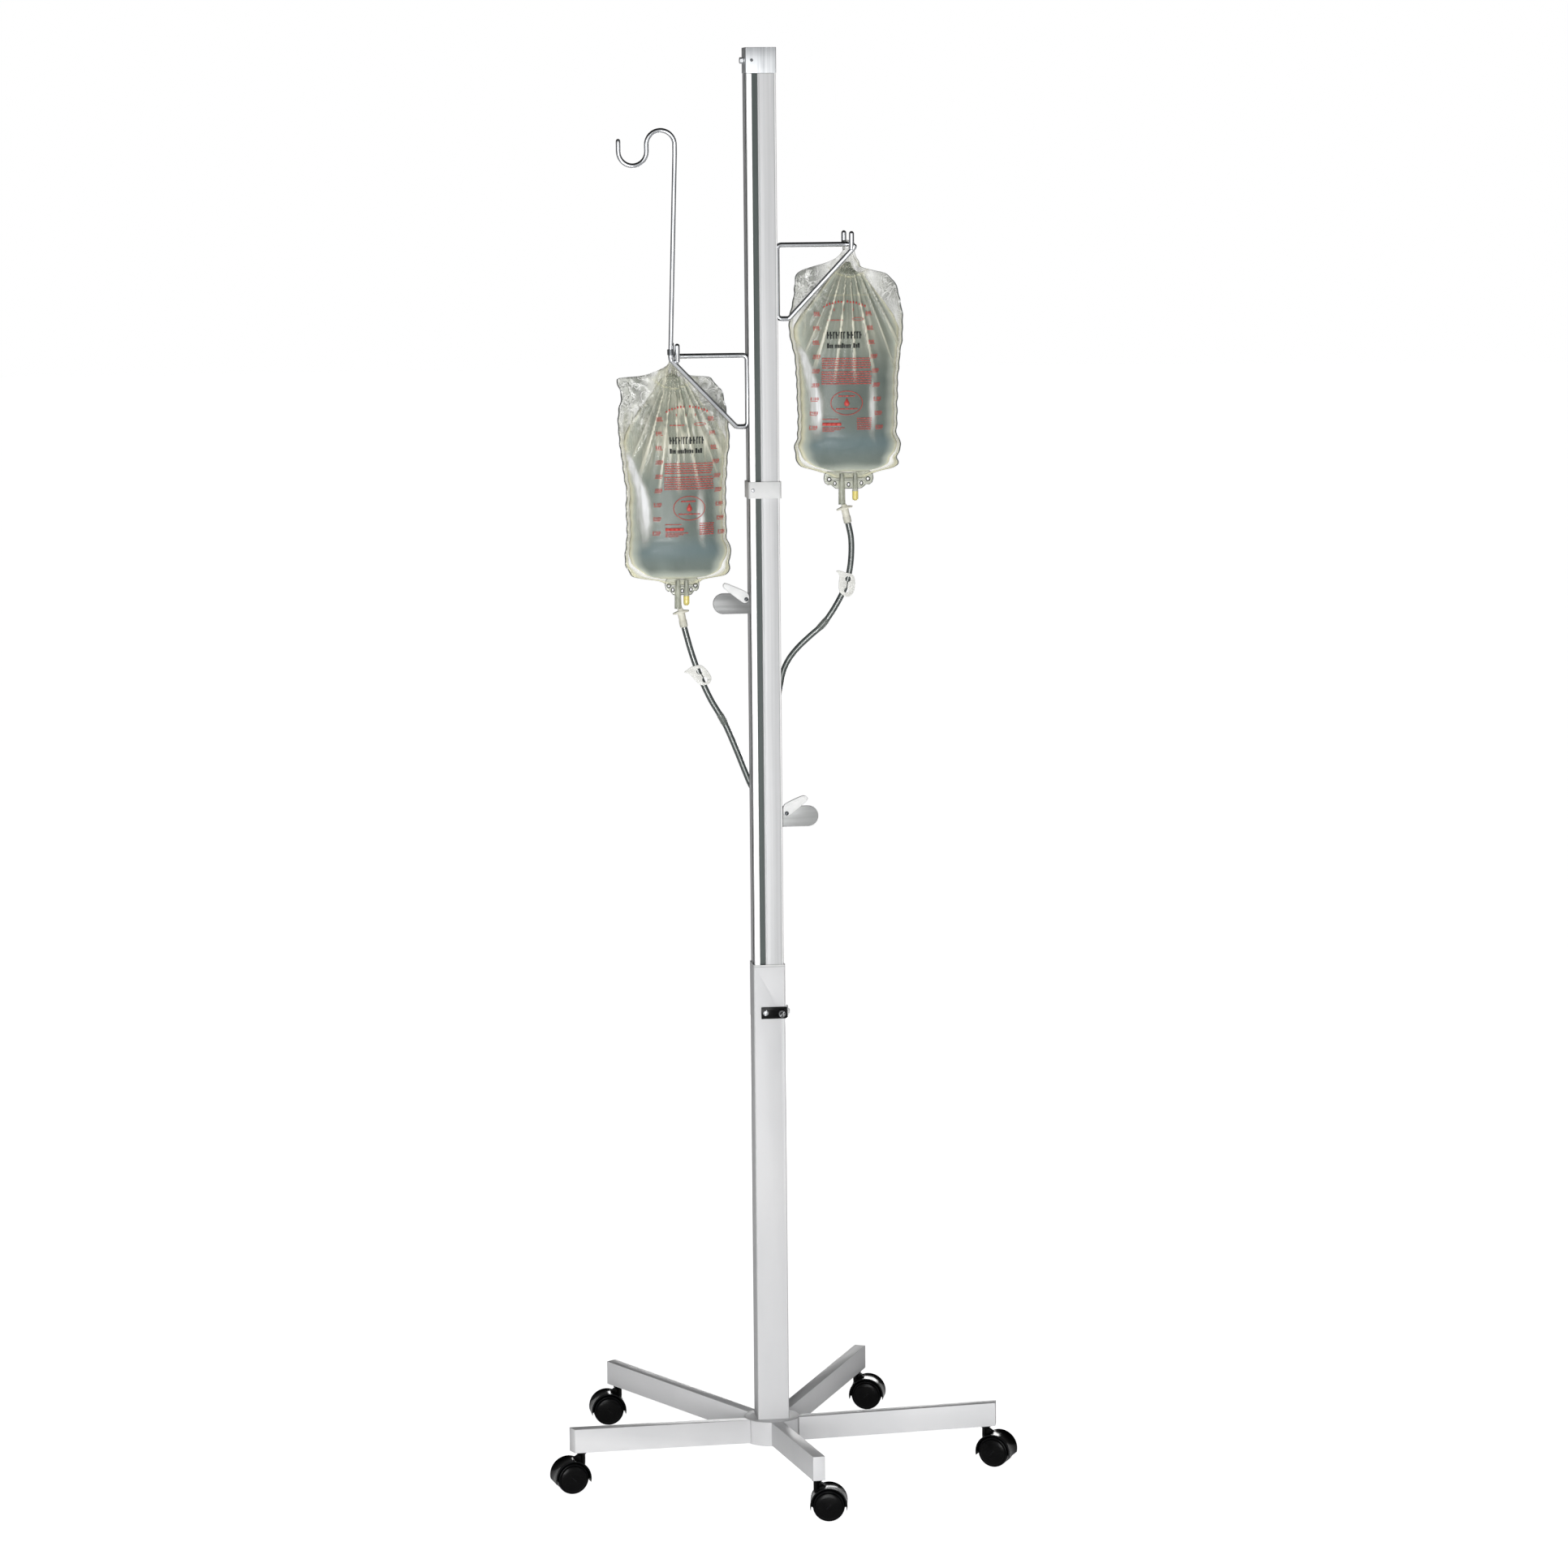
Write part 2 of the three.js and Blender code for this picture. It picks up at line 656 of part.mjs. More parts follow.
// A rod that stands on the left hanger's curl and ends in an open S-shaped hook.
function sHookPole() {
  const y = -BAG_BAR_HALF;
  const { curl, arm, curlRise } = HANGERS.left;
  const foot = v3(-curl, y, arm + curlRise + GAP);
  const first = arcAt(HOOK_ARCH, y, HOOK_RADIUS, 0, 180, 10);
  const second = arcAt(HOOK_BOWL, y, HOOK_RADIUS, 0, -180, 10);
  return bar([foot, ...first, ...second, v3(HOOK_TIP[0], y, HOOK_TIP[1])], HOOK_ROD);
}

// ---------------------------------------------------------------- bags and their fittings
// A closed body through rounded sections: [height, left, right, half thickness].
function pillow(sections, sides = 20, squareness = 0.82) {
  const positions = [];
  const faces = [];
  const soften = (value) => Math.sign(value) * Math.abs(value) ** squareness;
  sections.forEach(([z, left, right, thick]) => {
    for (let k = 0; k < sides; k += 1) {
      const angle = (k / sides) * Math.PI * 2;
      const x = (left + right) / 2 + ((right - left) / 2) * soften(Math.cos(angle));
      positions.push(x, BAG_Y + thick * soften(Math.sin(angle)), z);
    }
  });
  const ring = (s, k) => s * sides + (k % sides);
  for (let s = 0; s < sections.length - 1; s += 1) {
    for (let k = 0; k < sides; k += 1) {
      faces.push(ring(s, k), ring(s, k + 1), ring(s + 1, k + 1));
      faces.push(ring(s, k), ring(s + 1, k + 1), ring(s + 1, k));
    }
  }
  const last = sections.length - 1;
  for (let k = 1; k < sides - 1; k += 1) {
    faces.push(ring(0, 0), ring(0, k + 1), ring(0, k));
    faces.push(ring(last, 0), ring(last, k), ring(last, k + 1));
  }
  const geometry = new THREE.BufferGeometry();
  geometry.setAttribute('position', new THREE.Float32BufferAttribute(positions, 3));
  geometry.setIndex(faces);
  geometry.computeVertexNormals();
  return geometry;
}

const RIGHT_BAG = [
  [1591, 112, 166, 2],
  [1599, 74, 205, 8],
  [1608, 57, 220, 15],
  [1640, 54, 220, 29],
  [1700, 52, 219, 34],
  [1760, 51, 218, 33],
  [1810, 50, 221, 29],
  [1856, 48, 223, 22],
  [1885, 48, 219, 15],
  [1902, 56, 212, 10],
  [1914, 84, 196, 8],
  [1930, 112, 166, 7],
  [1951, 133, 149, 6],
];
const LEFT_BAG = [
  [1427.5, -158, -106, 2],
  [1436, -203, -66, 8],
  [1446, -217, -50, 15],
  [1478, -220, -51, 29],
  [1540, -222, -54, 34],
  [1600, -223, -55, 33],
  [1650, -225, -54, 28],
  [1690, -226, -53, 22],
  [1718, -226, -57, 15],
  [1734, -224, -68, 10],
  [1746, -204, -92, 8],
  [1760, -168, -116, 7],
  [1780, -147, -131, 6],
];

// The outlet and the injection port, joined by the moulded strip at the bottom seam.
function bagPorts({ outlet, outletBottom, port, portBottom, seam }) {
  const ends = [Math.min(outlet, port) - 9, Math.max(outlet, port) + 9];
  const strip = block([ends[0], BAG_Y - 4, seam - 7], [ends[1], BAG_Y + 4, seam - GAP]);
  const outletTube = cylinder(OUTLET_RADIUS, outletBottom, seam - 4, 14).translate(outlet, BAG_Y, 0);
  const portTube = turned(
    [[0, portBottom], [3.4, portBottom], [PORT_RADIUS, portBottom + 2], [PORT_RADIUS, seam - 4], [0, seam - 4]],
    14,
  ).translate(port, BAG_Y, 0);
  return join(strip, outletTube, portTube);
}

// A bag spike with its finger flange, from the outlet down to the tubing.
function spike(top, bottom) {
  const axis = v3(...bottom).sub(v3(...top));
  const length = axis.length();
  const body = turned(
    [
      [0, 0],
      [3.4, 0],
      [4.6, length * 0.3],
      [9, length * 0.34],
      [9, length * 0.44],
      [5.4, length * 0.5],
      [6, length],
      [0, length],
    ],
    12,
  );
  return aimed(body, v3(...top), axis);
}

// A slide clamp: a small frame that the tubing threads through.
function slideClamp(centre, lean) {
  const outline = new THREE.Shape();
  outline.moveTo(-11, -15);
  outline.lineTo(9, -17);
  outline.quadraticCurveTo(13, -17, 13, -12);
  outline.lineTo(13, 12);
  outline.quadraticCurveTo(13, 16, 8, 16);
  outline.lineTo(-17, 16);
  outline.lineTo(-17, 12);
  outline.lineTo(-11, 10);
  outline.holes.push(polygon([[-4, -11], [5, -11], [5, 11], [-4, 11]]));
  const plate = facing(outline, -6.4, -5.4, 4);
  plate.rotateY(THREE.MathUtils.degToRad(lean));
  return plate.translate(...centre);
}

const TUBE_SPACING = 24;
const LEFT_TUBE = [
  [-126.6, 8, 1357],
  [-116, 8, 1318],
  [-102.9, 8, 1279.8],
  [-86, 9, 1242],
  [-64.3, 13, 1204.4],
  [-44, 20, 1158],
  [-29, 28, 1121],
  [-20, 32, 1100],
  [-9, 35, 1082],
  [0, 36, 1064],
  [1, 36, 1046],
];
const RIGHT_TUBE = [
  [136.7, 8, 1517],
  [141, 8, 1495],
  [141.6, 8, 1472.4],
  [139, 8, 1445],
  [132.1, 8, 1418.3],
  [116, 9, 1386],
  [95.3, 11, 1356.7],
  [75, 15, 1338],
  [57.7, 20, 1321],
  [44, 26, 1303],
  [35, 31, 1284],
  [30, 33.5, 1262],
  [26, 34.5, 1238],
  [22.5, 35.5, 1190],
  [19, 36, 1120],
  [15, 36, 1046],
];

function tubing(points) {
  return bar(smooth(points, TUBE_SPACING), TUBE_RADIUS);
}

function yConnector() {
  const { x, y, top, bottom, arms } = JUNCTION;
  const arm = (at) => cylinder(SOCKET_RADIUS, 1024, top, 12).translate(at, y, 0);
  const body = block([x - 12, y - 5, 1012], [x + 12, y + 5, 1027]);
  const stem = cylinder(SOCKET_RADIUS, bottom, 1014, 12).translate(x, y, 0);
  return join(arm(arms[0]), arm(arms[1]), body, stem);
}

function drainTube() {
  const { x, y, bottom } = JUNCTION;
  return bar([v3(x, y, bottom - GAP), v3(x, y, 990), v3(x, y, 981.2)], TUBE_RADIUS);
}

// The rest of the line, wound into a flat hank that hangs behind the column.
function tubeHank() {
  const outline = new THREE.Shape();
  outline.absarc(HANK.y, HANK.high, HANK.radius, 0, Math.PI);
  outline.absarc(HANK.y, HANK.low, HANK.radius, Math.PI, Math.PI * 2);
  const slab = new THREE.ExtrudeGeometry(outline, {
    depth: HANK.halfWidth * 2,
    bevelEnabled: false,
    curveSegments: 10,
  });
  // The outline's axes are Y and Z, and its thickness runs along X.
  const turn = new THREE.Matrix4().makeBasis(v3(0, 1, 0), v3(0, 0, 1), v3(1, 0, 0));
  return slab.applyMatrix4(turn).translate(HANK.x - HANK.halfWidth, 0, 0);
}

function hankTie() {
  const x = HANK.halfWidth + 0.4;
  const y = HANK.radius + 0.4;
  const band = 1.6;
  const ring = (grow, low, high) =>
    block([HANK.x - x - grow, HANK.y - y - grow, low], [HANK.x + x + grow, HANK.y + y + grow, high]);
  const clip = block([2, MAST_HALF + GAP, 934], [16, HANK.y - y - band / 2, 950]);
  return join(cut(ring(band, 936, 948), ring(0, 935, 949)), clip);
}

function endConnector() {
  const body = turned(
    [[0, 748], [4, 748], [5.4, 750], [5.4, 762], [6.2, 763], [6.2, 768], [4.9, 769], [4.9, 778], [0, 778]],
    12,
  );
  return body.translate(END_CONNECTOR_X, JUNCTION.y, 0);
}

// ---------------------------------------------------------------- brake handles
function handle({ side, height, pivot }) {
  const reach = HANDLE_REACH - HANDLE_HALF_HEIGHT;
  const outline = new THREE.Shape();
  outline.moveTo(HANDLE_ROOT, -HANDLE_HALF_HEIGHT);
  outline.absarc(reach, 0, HANDLE_HALF_HEIGHT, -Math.PI / 2, Math.PI / 2);
  outline.lineTo(HANDLE_ROOT, HANDLE_HALF_HEIGHT);
  const plate = facing(outline, -PLATE_HALF, PLATE_HALF, 8);
  if (side < 0) plate.rotateZ(Math.PI);
  const low = Math.min(side * SLIDER_INNER, side * SLIDER_OUTER);
  const high = Math.max(side * SLIDER_INNER, side * SLIDER_OUTER);
  const slider = block([low, -7, -SLIDER_HALF_HEIGHT], [high, 22, SLIDER_HALF_HEIGHT]);
  const body = join(plate, slider).translate(0, SLOT_Y, height);
  const hole = cylinder(2.3, -12, 12).rotateX(Math.PI / 2).translate(pivot[0], SLOT_Y, pivot[1]);
  return cut(body, hole);
}

function lever({ pivot, lever: outlinePoints }) {
  const outline = polygon(outlinePoints);
  outline.holes.push(new THREE.Path().absarc(0, 0, 2.4, 0, Math.PI * 2));
  return facing(outline, -LEVER_THICKNESS, 0, 6).translate(pivot[0], LEVER_BACK, pivot[1]);
}

function leverPivot({ pivot }) {
  const front = LEVER_BACK - LEVER_THICKNESS - GAP;
  const screw = turned([[0, -10], [1.9, -10], [1.9, 0], [3.2, 0], [2.9, 1.3], [0, 1.7]], 12);
  const slot = block([-4, -0.5, 0.8], [4, 0.5, 3]);
  return aimed(cut(screw, slot), v3(pivot[0], front, pivot[1]), v3(0, -1, 0));
}

// From the handle's slider up to the guide and over it.
function handleCable({ side, height }) {
  const x = side * GUIDE_X;
  const wrap = Array.from({ length: 9 }, (_, k) => {
    const angle = (Math.PI * k) / 8;
    return v3(x, CABLE_PITCH_RADIUS * Math.cos(angle), BOLT_Z + CABLE_PITCH_RADIUS * Math.sin(angle) + GAP);
  });
  return bar([v3(x, CABLE_PITCH_RADIUS, height + SLIDER_HALF_HEIGHT + GAP), ...wrap], CABLE_RADIUS, 6);
}

// ---------------------------------------------------------------- assembly
place('hub', hub(), paint);
place('lower_tube', lowerTube(), paint);
place('tube_end_bush', tubeEndBush(), greyPlastic);
place('latch_bracket', latchBracket(), blackPlastic);
place('latch_screw', latchScrew(), steel);
place('latch_catch', latchCatch(), whiteEnamel);
place('latch_knob', latchKnob(), blackPlastic);

const LEGS = [
  { name: 'front', direction: 274.1, trail: -9 },
  { name: 'right', direction: 346.1, trail: -29.4 },
  { name: 'back_right', direction: 58.1, trail: -15.4 },
  { name: 'back_left', direction: 130.1, trail: -178.4 },
  { name: 'left', direction: 202.1, trail: -170.4 },
];
LEGS.forEach(({ name, direction, trail }) => {
  place(`leg_${name}`, leg(direction), paint);
  place(`caster_hood_${name}`, setCaster(casterHood(), direction, trail), blackPlastic);
  place(`caster_wheels_${name}`, setCaster(wheelPair(), direction, trail), blackRubber);
});

place('mast', mast(), anodised);
place('mast_cap', cap(), anodised);
place('guide_bolt', guideBolt(), steel);
place('cap_screw', capScrew(), steel);
place('collar', collar(), whiteEnamel);
place('collar_screw', collarScrew(), steel);

Object.entries(HANGERS).forEach(([name, hanger]) => {
  place(`cable_guide_${name}`, cableGuide(hanger.side), greyPlastic);
  place(`hanger_frame_${name}`, hangerFrame(hanger), chromed);
  place(`carriage_${name}`, carriage(hanger), greyPlastic);
  place(`hanger_cable_${name}`, hangerCable(hanger), cord);
});
place('s_hook_pole', sHookPole(), chromed);

Object.entries(HANDLES).forEach(([name, grip]) => {
  place(`handle_${name}`, handle(grip), brushed);
  place(`lever_${name}`, lever(grip), whiteEnamel);
  place(`lever_pivot_${name}`, leverPivot(grip), steel);
  place(`handle_cable_${name}`, handleCable(grip), cord);
});

place('bag_left', pillow(LEFT_BAG), bagFilm);
place('bag_right', pillow(RIGHT_BAG), bagFilm);
const LEFT_PORTS = { outlet: -136, outletBottom: 1396, port: -122.5, portBottom: 1392, seam: 1427.5 };
const RIGHT_PORTS = { outlet: 127, outletBottom: 1556, port: 148.5, portBottom: 1553, seam: 1591 };
place('bag_ports_left', bagPorts(LEFT_PORTS), portPlastic);
place('bag_ports_right', bagPorts(RIGHT_PORTS), portPlastic);
place('bag_spike_left', spike([-134.4, BAG_Y, 1394.6], [-126.9, BAG_Y, 1358]), ivoryPlastic);
place('bag_spike_right', spike([127.8, BAG_Y, 1554.6], [136.4, BAG_Y, 1518]), ivoryPlastic);
place('tube_leg_left', tubing(LEFT_TUBE), clearTube);
place('tube_leg_right', tubing(RIGHT_TUBE), clearTube);
place('slide_clamp_left', slideClamp([-102, BAG_Y, 1280], -19), ivoryPlastic);
place('slide_clamp_right', slideClamp([132, BAG_Y, 1420], 12), ivoryPlastic);
place('y_connector', yConnector(), ivoryPlastic);
place('drain_tube', drainTube(), clearTube);
place('tube_hank', tubeHank(), clearTube);
place('hank_tie', hankTie(), blackRubber);
place('end_connector', endConnector(), ivoryPlastic);

export default model;
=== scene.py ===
"""Looks for the irrigation tower: a square telescoping column on five wheeled legs, with two water
bags on counterbalanced hangers and the tubing that joins them.

Shapes are worked out in millimetres about the column axis, +Z up and the front facing -Y, and at()
takes them to the row frame in metres. The axis is the middle of the hub.
"""
import json
import math
import random

import bmesh
import bpy
import numpy as np
from mathutils import Matrix, Vector

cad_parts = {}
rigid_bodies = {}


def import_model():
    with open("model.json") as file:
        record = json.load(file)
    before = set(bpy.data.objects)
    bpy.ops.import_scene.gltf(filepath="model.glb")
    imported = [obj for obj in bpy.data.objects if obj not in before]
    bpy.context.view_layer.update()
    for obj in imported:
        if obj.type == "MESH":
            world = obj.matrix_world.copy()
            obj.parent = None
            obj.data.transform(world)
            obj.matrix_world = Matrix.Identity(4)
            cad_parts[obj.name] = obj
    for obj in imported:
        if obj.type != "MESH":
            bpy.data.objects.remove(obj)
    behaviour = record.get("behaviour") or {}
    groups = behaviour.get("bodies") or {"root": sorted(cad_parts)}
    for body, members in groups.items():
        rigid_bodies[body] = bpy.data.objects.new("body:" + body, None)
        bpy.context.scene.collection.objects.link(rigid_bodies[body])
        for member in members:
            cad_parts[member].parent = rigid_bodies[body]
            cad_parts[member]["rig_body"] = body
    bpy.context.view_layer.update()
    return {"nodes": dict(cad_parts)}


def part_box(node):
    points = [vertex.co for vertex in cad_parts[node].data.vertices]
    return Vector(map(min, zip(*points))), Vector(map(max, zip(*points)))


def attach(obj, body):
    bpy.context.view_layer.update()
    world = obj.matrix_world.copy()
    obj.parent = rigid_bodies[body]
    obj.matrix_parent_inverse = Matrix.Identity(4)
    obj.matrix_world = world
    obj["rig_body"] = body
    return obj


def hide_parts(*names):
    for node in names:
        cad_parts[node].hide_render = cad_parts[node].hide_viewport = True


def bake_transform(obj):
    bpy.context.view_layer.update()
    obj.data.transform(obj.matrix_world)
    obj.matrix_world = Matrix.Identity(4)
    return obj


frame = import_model()

MM = 0.001
hub_low, hub_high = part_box("hub")
AXIS = (hub_low + hub_high) / 2
SIDES = {"left": -1, "right": 1}


def at(x, y, z):
    """A place in millimetres from the column axis at floor level, in the row frame."""
    return Vector((AXIS.x + x * MM, AXIS.y + y * MM, z * MM))


def from_row(p):
    """The inverse of at()."""
    return ((p[0] - AXIS.x) / MM, (p[1] - AXIS.y) / MM, p[2] / MM)


def new_object(name, data):
    obj = bpy.data.objects.new(name, data)
    bpy.context.scene.collection.objects.link(obj)
    return obj


# ------------------------------------------------------------------ camera
CAMERA_DISTANCE = 7412.6
CAMERA_HEIGHT = 2094
CAMERA_AZIMUTH = 7.428  # degrees, about the column
CAMERA_YAW = 0.2248
CAMERA_PITCH = 7.6041
CAMERA_ROLL = -0.5201
LENS = 107.9

camera = new_object("camera", bpy.data.cameras.new("camera"))
camera.data.lens = LENS
camera.data.sensor_width = 36
camera.data.clip_end = 100


def aim_camera():
    around = math.radians(CAMERA_AZIMUTH)
    heading = math.radians(CAMERA_AZIMUTH + CAMERA_YAW)
    pitch = math.radians(CAMERA_PITCH)
    roll = math.radians(CAMERA_ROLL)
    level = math.cos(pitch)
    forward = Vector((math.sin(heading) * level, math.cos(heading) * level, -math.sin(pitch)))
    right = Vector((math.cos(heading), -math.sin(heading), 0))
    up = right.cross(forward)
    turned_right = math.cos(roll) * right + math.sin(roll) * up
    turned_up = math.cos(roll) * up - math.sin(roll) * right
    back = -forward
    turn = Matrix((turned_right, turned_up, back)).transposed().to_4x4()
    place = at(-CAMERA_DISTANCE * math.sin(around), -CAMERA_DISTANCE * math.cos(around), CAMERA_HEIGHT)
    camera.matrix_world = Matrix.Translation(place) @ turn


aim_camera()
bpy.context.scene.camera = camera


# ------------------------------------------------------------------ node materials
def linear(code):
    """A colour written as RRGGBB, as Blender's linear RGBA."""
    made = []
    for k in (0, 2, 4):
        c = int(code[k : k + 2], 16) / 255
        made.append(c / 12.92 if c <= 0.04045 else ((c + 0.055) / 1.055) ** 2.4)
    return (*made, 1.0)


class Nodes:
    """A node tree, with short calls for what this scene needs."""

    def __init__(self, tree):
        self.tree = tree

    def add(self, kind, inputs=None, **settings):
        node = self.tree.nodes.new(kind)
        for key, value in settings.items():
            setattr(node, key, value)
        for key, value in (inputs or {}).items():
            self.feed(node.inputs[key], value)
        return node

    def feed(self, socket, value):
        """Links a socket to another one or sets its value. A text is a colour."""
        if isinstance(value, bpy.types.NodeSocket):
            self.tree.links.new(value, socket)
        else:
            socket.default_value = linear(value) if isinstance(value, str) else value

    def ramp(self, value, low, high, out_low=0.0, out_high=1.0, smooth=False):
        made = self.add(
            "ShaderNodeMapRange",
            {"Value": value, "From Min": low, "From Max": high, "To Min": out_low, "To Max": out_high},
            interpolation_type="SMOOTHSTEP" if smooth else "LINEAR",
        )
        return made.outputs["Result"]

    def even(self, noise, low=0.0, high=1.0):
        """A noise stretched to run from low to high."""
        return self.ramp(noise, 0.3, 0.7, low, high)

    def math(self, operation, a, b=0.0):
        return self.add("ShaderNodeMath", {0: a, 1: b}, operation=operation).outputs[0]

    def times(self, a, b):
        return self.math("MULTIPLY", a, b)

    def most(self, *values):
        made = values[0]
        for value in values[1:]:
            made = self.math("MAXIMUM", made, value)
        return made

    def inside(self, value, low, high):
        """1 where a value lies between two limits, and 0 elsewhere."""
        return self.times(self.math("GREATER_THAN", value, low), self.math("LESS_THAN", value, high))


class Surface(Nodes):
    """A material and the noises, masks and bumps that it is made of."""

    def __init__(self, name):
        self.material = bpy.data.materials.new(name)
        self.material.use_nodes = True
        super().__init__(self.material.node_tree)
        self.shader = self.tree.nodes["Principled BSDF"]
        self.place = self.add("ShaderNodeTexCoord").outputs["Object"]

    def noise(self, scale, stretch=(1, 1, 1), detail=4.0, distortion=0.0):
        spread = self.add("ShaderNodeMapping", {"Vector": self.place, "Scale": stretch})
        made = self.add(
            "ShaderNodeTexNoise",
            {"Vector": spread.outputs[0], "Scale": scale, "Detail": detail, "Distortion": distortion},
        )
        return made.outputs["Fac"]

    def mix(self, share, a, b):
        made = self.add("ShaderNodeMix", data_type="RGBA")
        self.feed(made.inputs["Factor"], share)
        self.feed(made.inputs["A"], a)
        self.feed(made.inputs["B"], b)
        return made.outputs["Result"]

    def attribute(self, name):
        return self.add("ShaderNodeAttribute", attribute_name=name).outputs["Fac"]

    def axes(self):
        split = self.add("ShaderNodeSeparateXYZ", {"Vector": self.place})
        return split.outputs[0], split.outputs[1], split.outputs[2]

    def bump(self, height, strength, distance):
        made = self.add(
            "ShaderNodeBump", {"Height": height, "Strength": strength, "Distance": distance}
        )
        self.feed(self.shader.inputs["Normal"], made.outputs[0])

    def wear(self):
        """Where edges stick out, from 0 to 1."""
        point = self.add("ShaderNodeNewGeometry").outputs["Pointiness"]
        return self.ramp(point, 0.52, 0.62)

    def set(self, **sockets):
        for key, value in sockets.items():
            self.feed(self.shader.inputs[key.replace("_", " ")], value)


GRAIN_DEPTH = 0.0002  # metres


def finish(
    name, colour, shade, roughness, metallic=0.0, scale=60, stretch=(1, 1, 1), bump=0.15, edge=None,
    painted_edge_share=0.5, fine=900, spread=0.06, gloss=0.5,
):
    """A surface with mottled colour, uneven gloss and fine grain, and an edge colour along the edges that
    stick out: lighter for a painted highlight, darker for painted shade.
    """
    n = Surface(name)
    cloud = n.noise(scale, stretch, 5.0)
    grain = n.noise(fine, stretch, 3.0)
    body = n.mix(n.even(cloud), colour, shade)
    # Painted light: a lighter edge colour paints a highlight, a darker one paints shade.
    if edge:
        body = n.mix(n.times(n.wear(), painted_edge_share), body, edge)
    n.set(Base_Color=body, Metallic=metallic, Specular_IOR_Level=gloss)
    n.set(Roughness=n.even(cloud, roughness - spread, roughness + spread))
    n.bump(grain, bump, GRAIN_DEPTH)
    return n.material


def white_paint():
    """Powder coat: a fine orange peel, dust specks and a painted highlight on its corners."""
    n = Surface("powder_coat")
    cloud = n.noise(9, (1, 1, 0.35), 4.0)
    peel = n.noise(620, detail=2.0)
    speck = n.ramp(n.noise(2100, detail=1.0), 0.73, 0.78)
    body = n.mix(n.even(cloud), "DCDCDD", "CFD0D2")
    # Painted highlight: the corners turn whiter.
    body = n.mix(n.times(n.wear(), 0.7), body, "F7F7F8")
    body = n.mix(n.times(speck, 0.25), body, "A9ABAD")
    n.set(Base_Color=body, Metallic=0.0)
    n.set(Roughness=n.even(cloud, 0.36, 0.46))
    n.bump(peel, 0.12, GRAIN_DEPTH)
    return n.material


# The upper column's section, in metres from its axis.
MAST_FACE = 0.0234
# Bands of painted highlight on the front face.
HIGHLIGHT_BANDS = ((-0.0234, -0.0146), (0.0206, 0.0236))
SCORE_X, SCORE_HALF = 0.0203, 0.00035
GROOVE_X, GROOVE_HALF, GROOVE_DEPTHS = -0.01015, 0.0046, (-0.0228, -0.0180)
CHANNEL_HALF, CHANNEL_DEPTHS = 0.0232, (-0.0177, 0.0207)


def extruded_aluminium():
    """Satin anodising drawn along Z, with bands of painted highlight on the front, darker in the front
    groove, and painted shade in the channels.
    """
    n = Surface("anodised_extrusion")
    x, y, z = n.axes()
    across = n.math("SUBTRACT", x, AXIS.x)
    deep = n.math("SUBTRACT", y, AXIS.y)
    draw = n.noise(260, (1, 1, 0.012), 6.0)
    cloud = n.noise(7, (1, 1, 0.4), 3.0)
    body = n.mix(n.even(draw), "CDCECF", "DCDCDD")
    body = n.mix(n.ramp(cloud, 0.35, 0.75, 0.0, 0.25), body, "BEC0C1")
    front = n.math("LESS_THAN", deep, -MAST_FACE + 0.4 * MM)
    # Painted highlights: near-white bands on the front face.
    for low, high in HIGHLIGHT_BANDS:
        body = n.mix(n.times(n.inside(across, low, high), front), body, "FAFAFA")
    line = n.math("LESS_THAN", n.math("ABSOLUTE", n.math("SUBTRACT", across, SCORE_X)), SCORE_HALF)
    body = n.mix(n.times(line, front), body, "9A9D9F")
    groove = n.math("LESS_THAN", n.math("ABSOLUTE", n.math("SUBTRACT", across, GROOVE_X)), GROOVE_HALF)
    groove = n.times(groove, n.inside(deep, *GROOVE_DEPTHS))
    body = n.mix(groove, body, n.mix(n.even(draw), "36403E", "47524F"))
    # Painted shade inside the side channels.
    inner = n.math("LESS_THAN", n.math("ABSOLUTE", across), CHANNEL_HALF)
    inner = n.times(inner, n.inside(deep, *CHANNEL_DEPTHS))
    body = n.mix(inner, body, "2B2D2E")
    n.set(Base_Color=body)
    n.set(Metallic=n.ramp(n.most(groove, inner), 0.0, 1.0, 0.25, 0.0))
    n.set(Roughness=n.even(draw, 0.33, 0.45))
    n.bump(draw, 0.10, GRAIN_DEPTH)
    return n.material


def brushed_cap():
    """Bare aluminium brushed along Z."""
    n = Surface("brushed_aluminium")
    draw = n.noise(420, (1, 1, 0.02), 6.0)
    band = n.noise(70, (1, 1, 0.03), 2.0)
    body = n.mix(n.even(draw), "C6C9CC", "E4E6E8")
    body = n.mix(n.ramp(band, 0.5, 0.8, 0.0, 0.5), body, "B3B8BD")
    n.set(Base_Color=body, Metallic=0.55)
    n.set(Roughness=n.even(draw, 0.28, 0.42))
    n.bump(draw, 0.15, GRAIN_DEPTH)
    return n.material


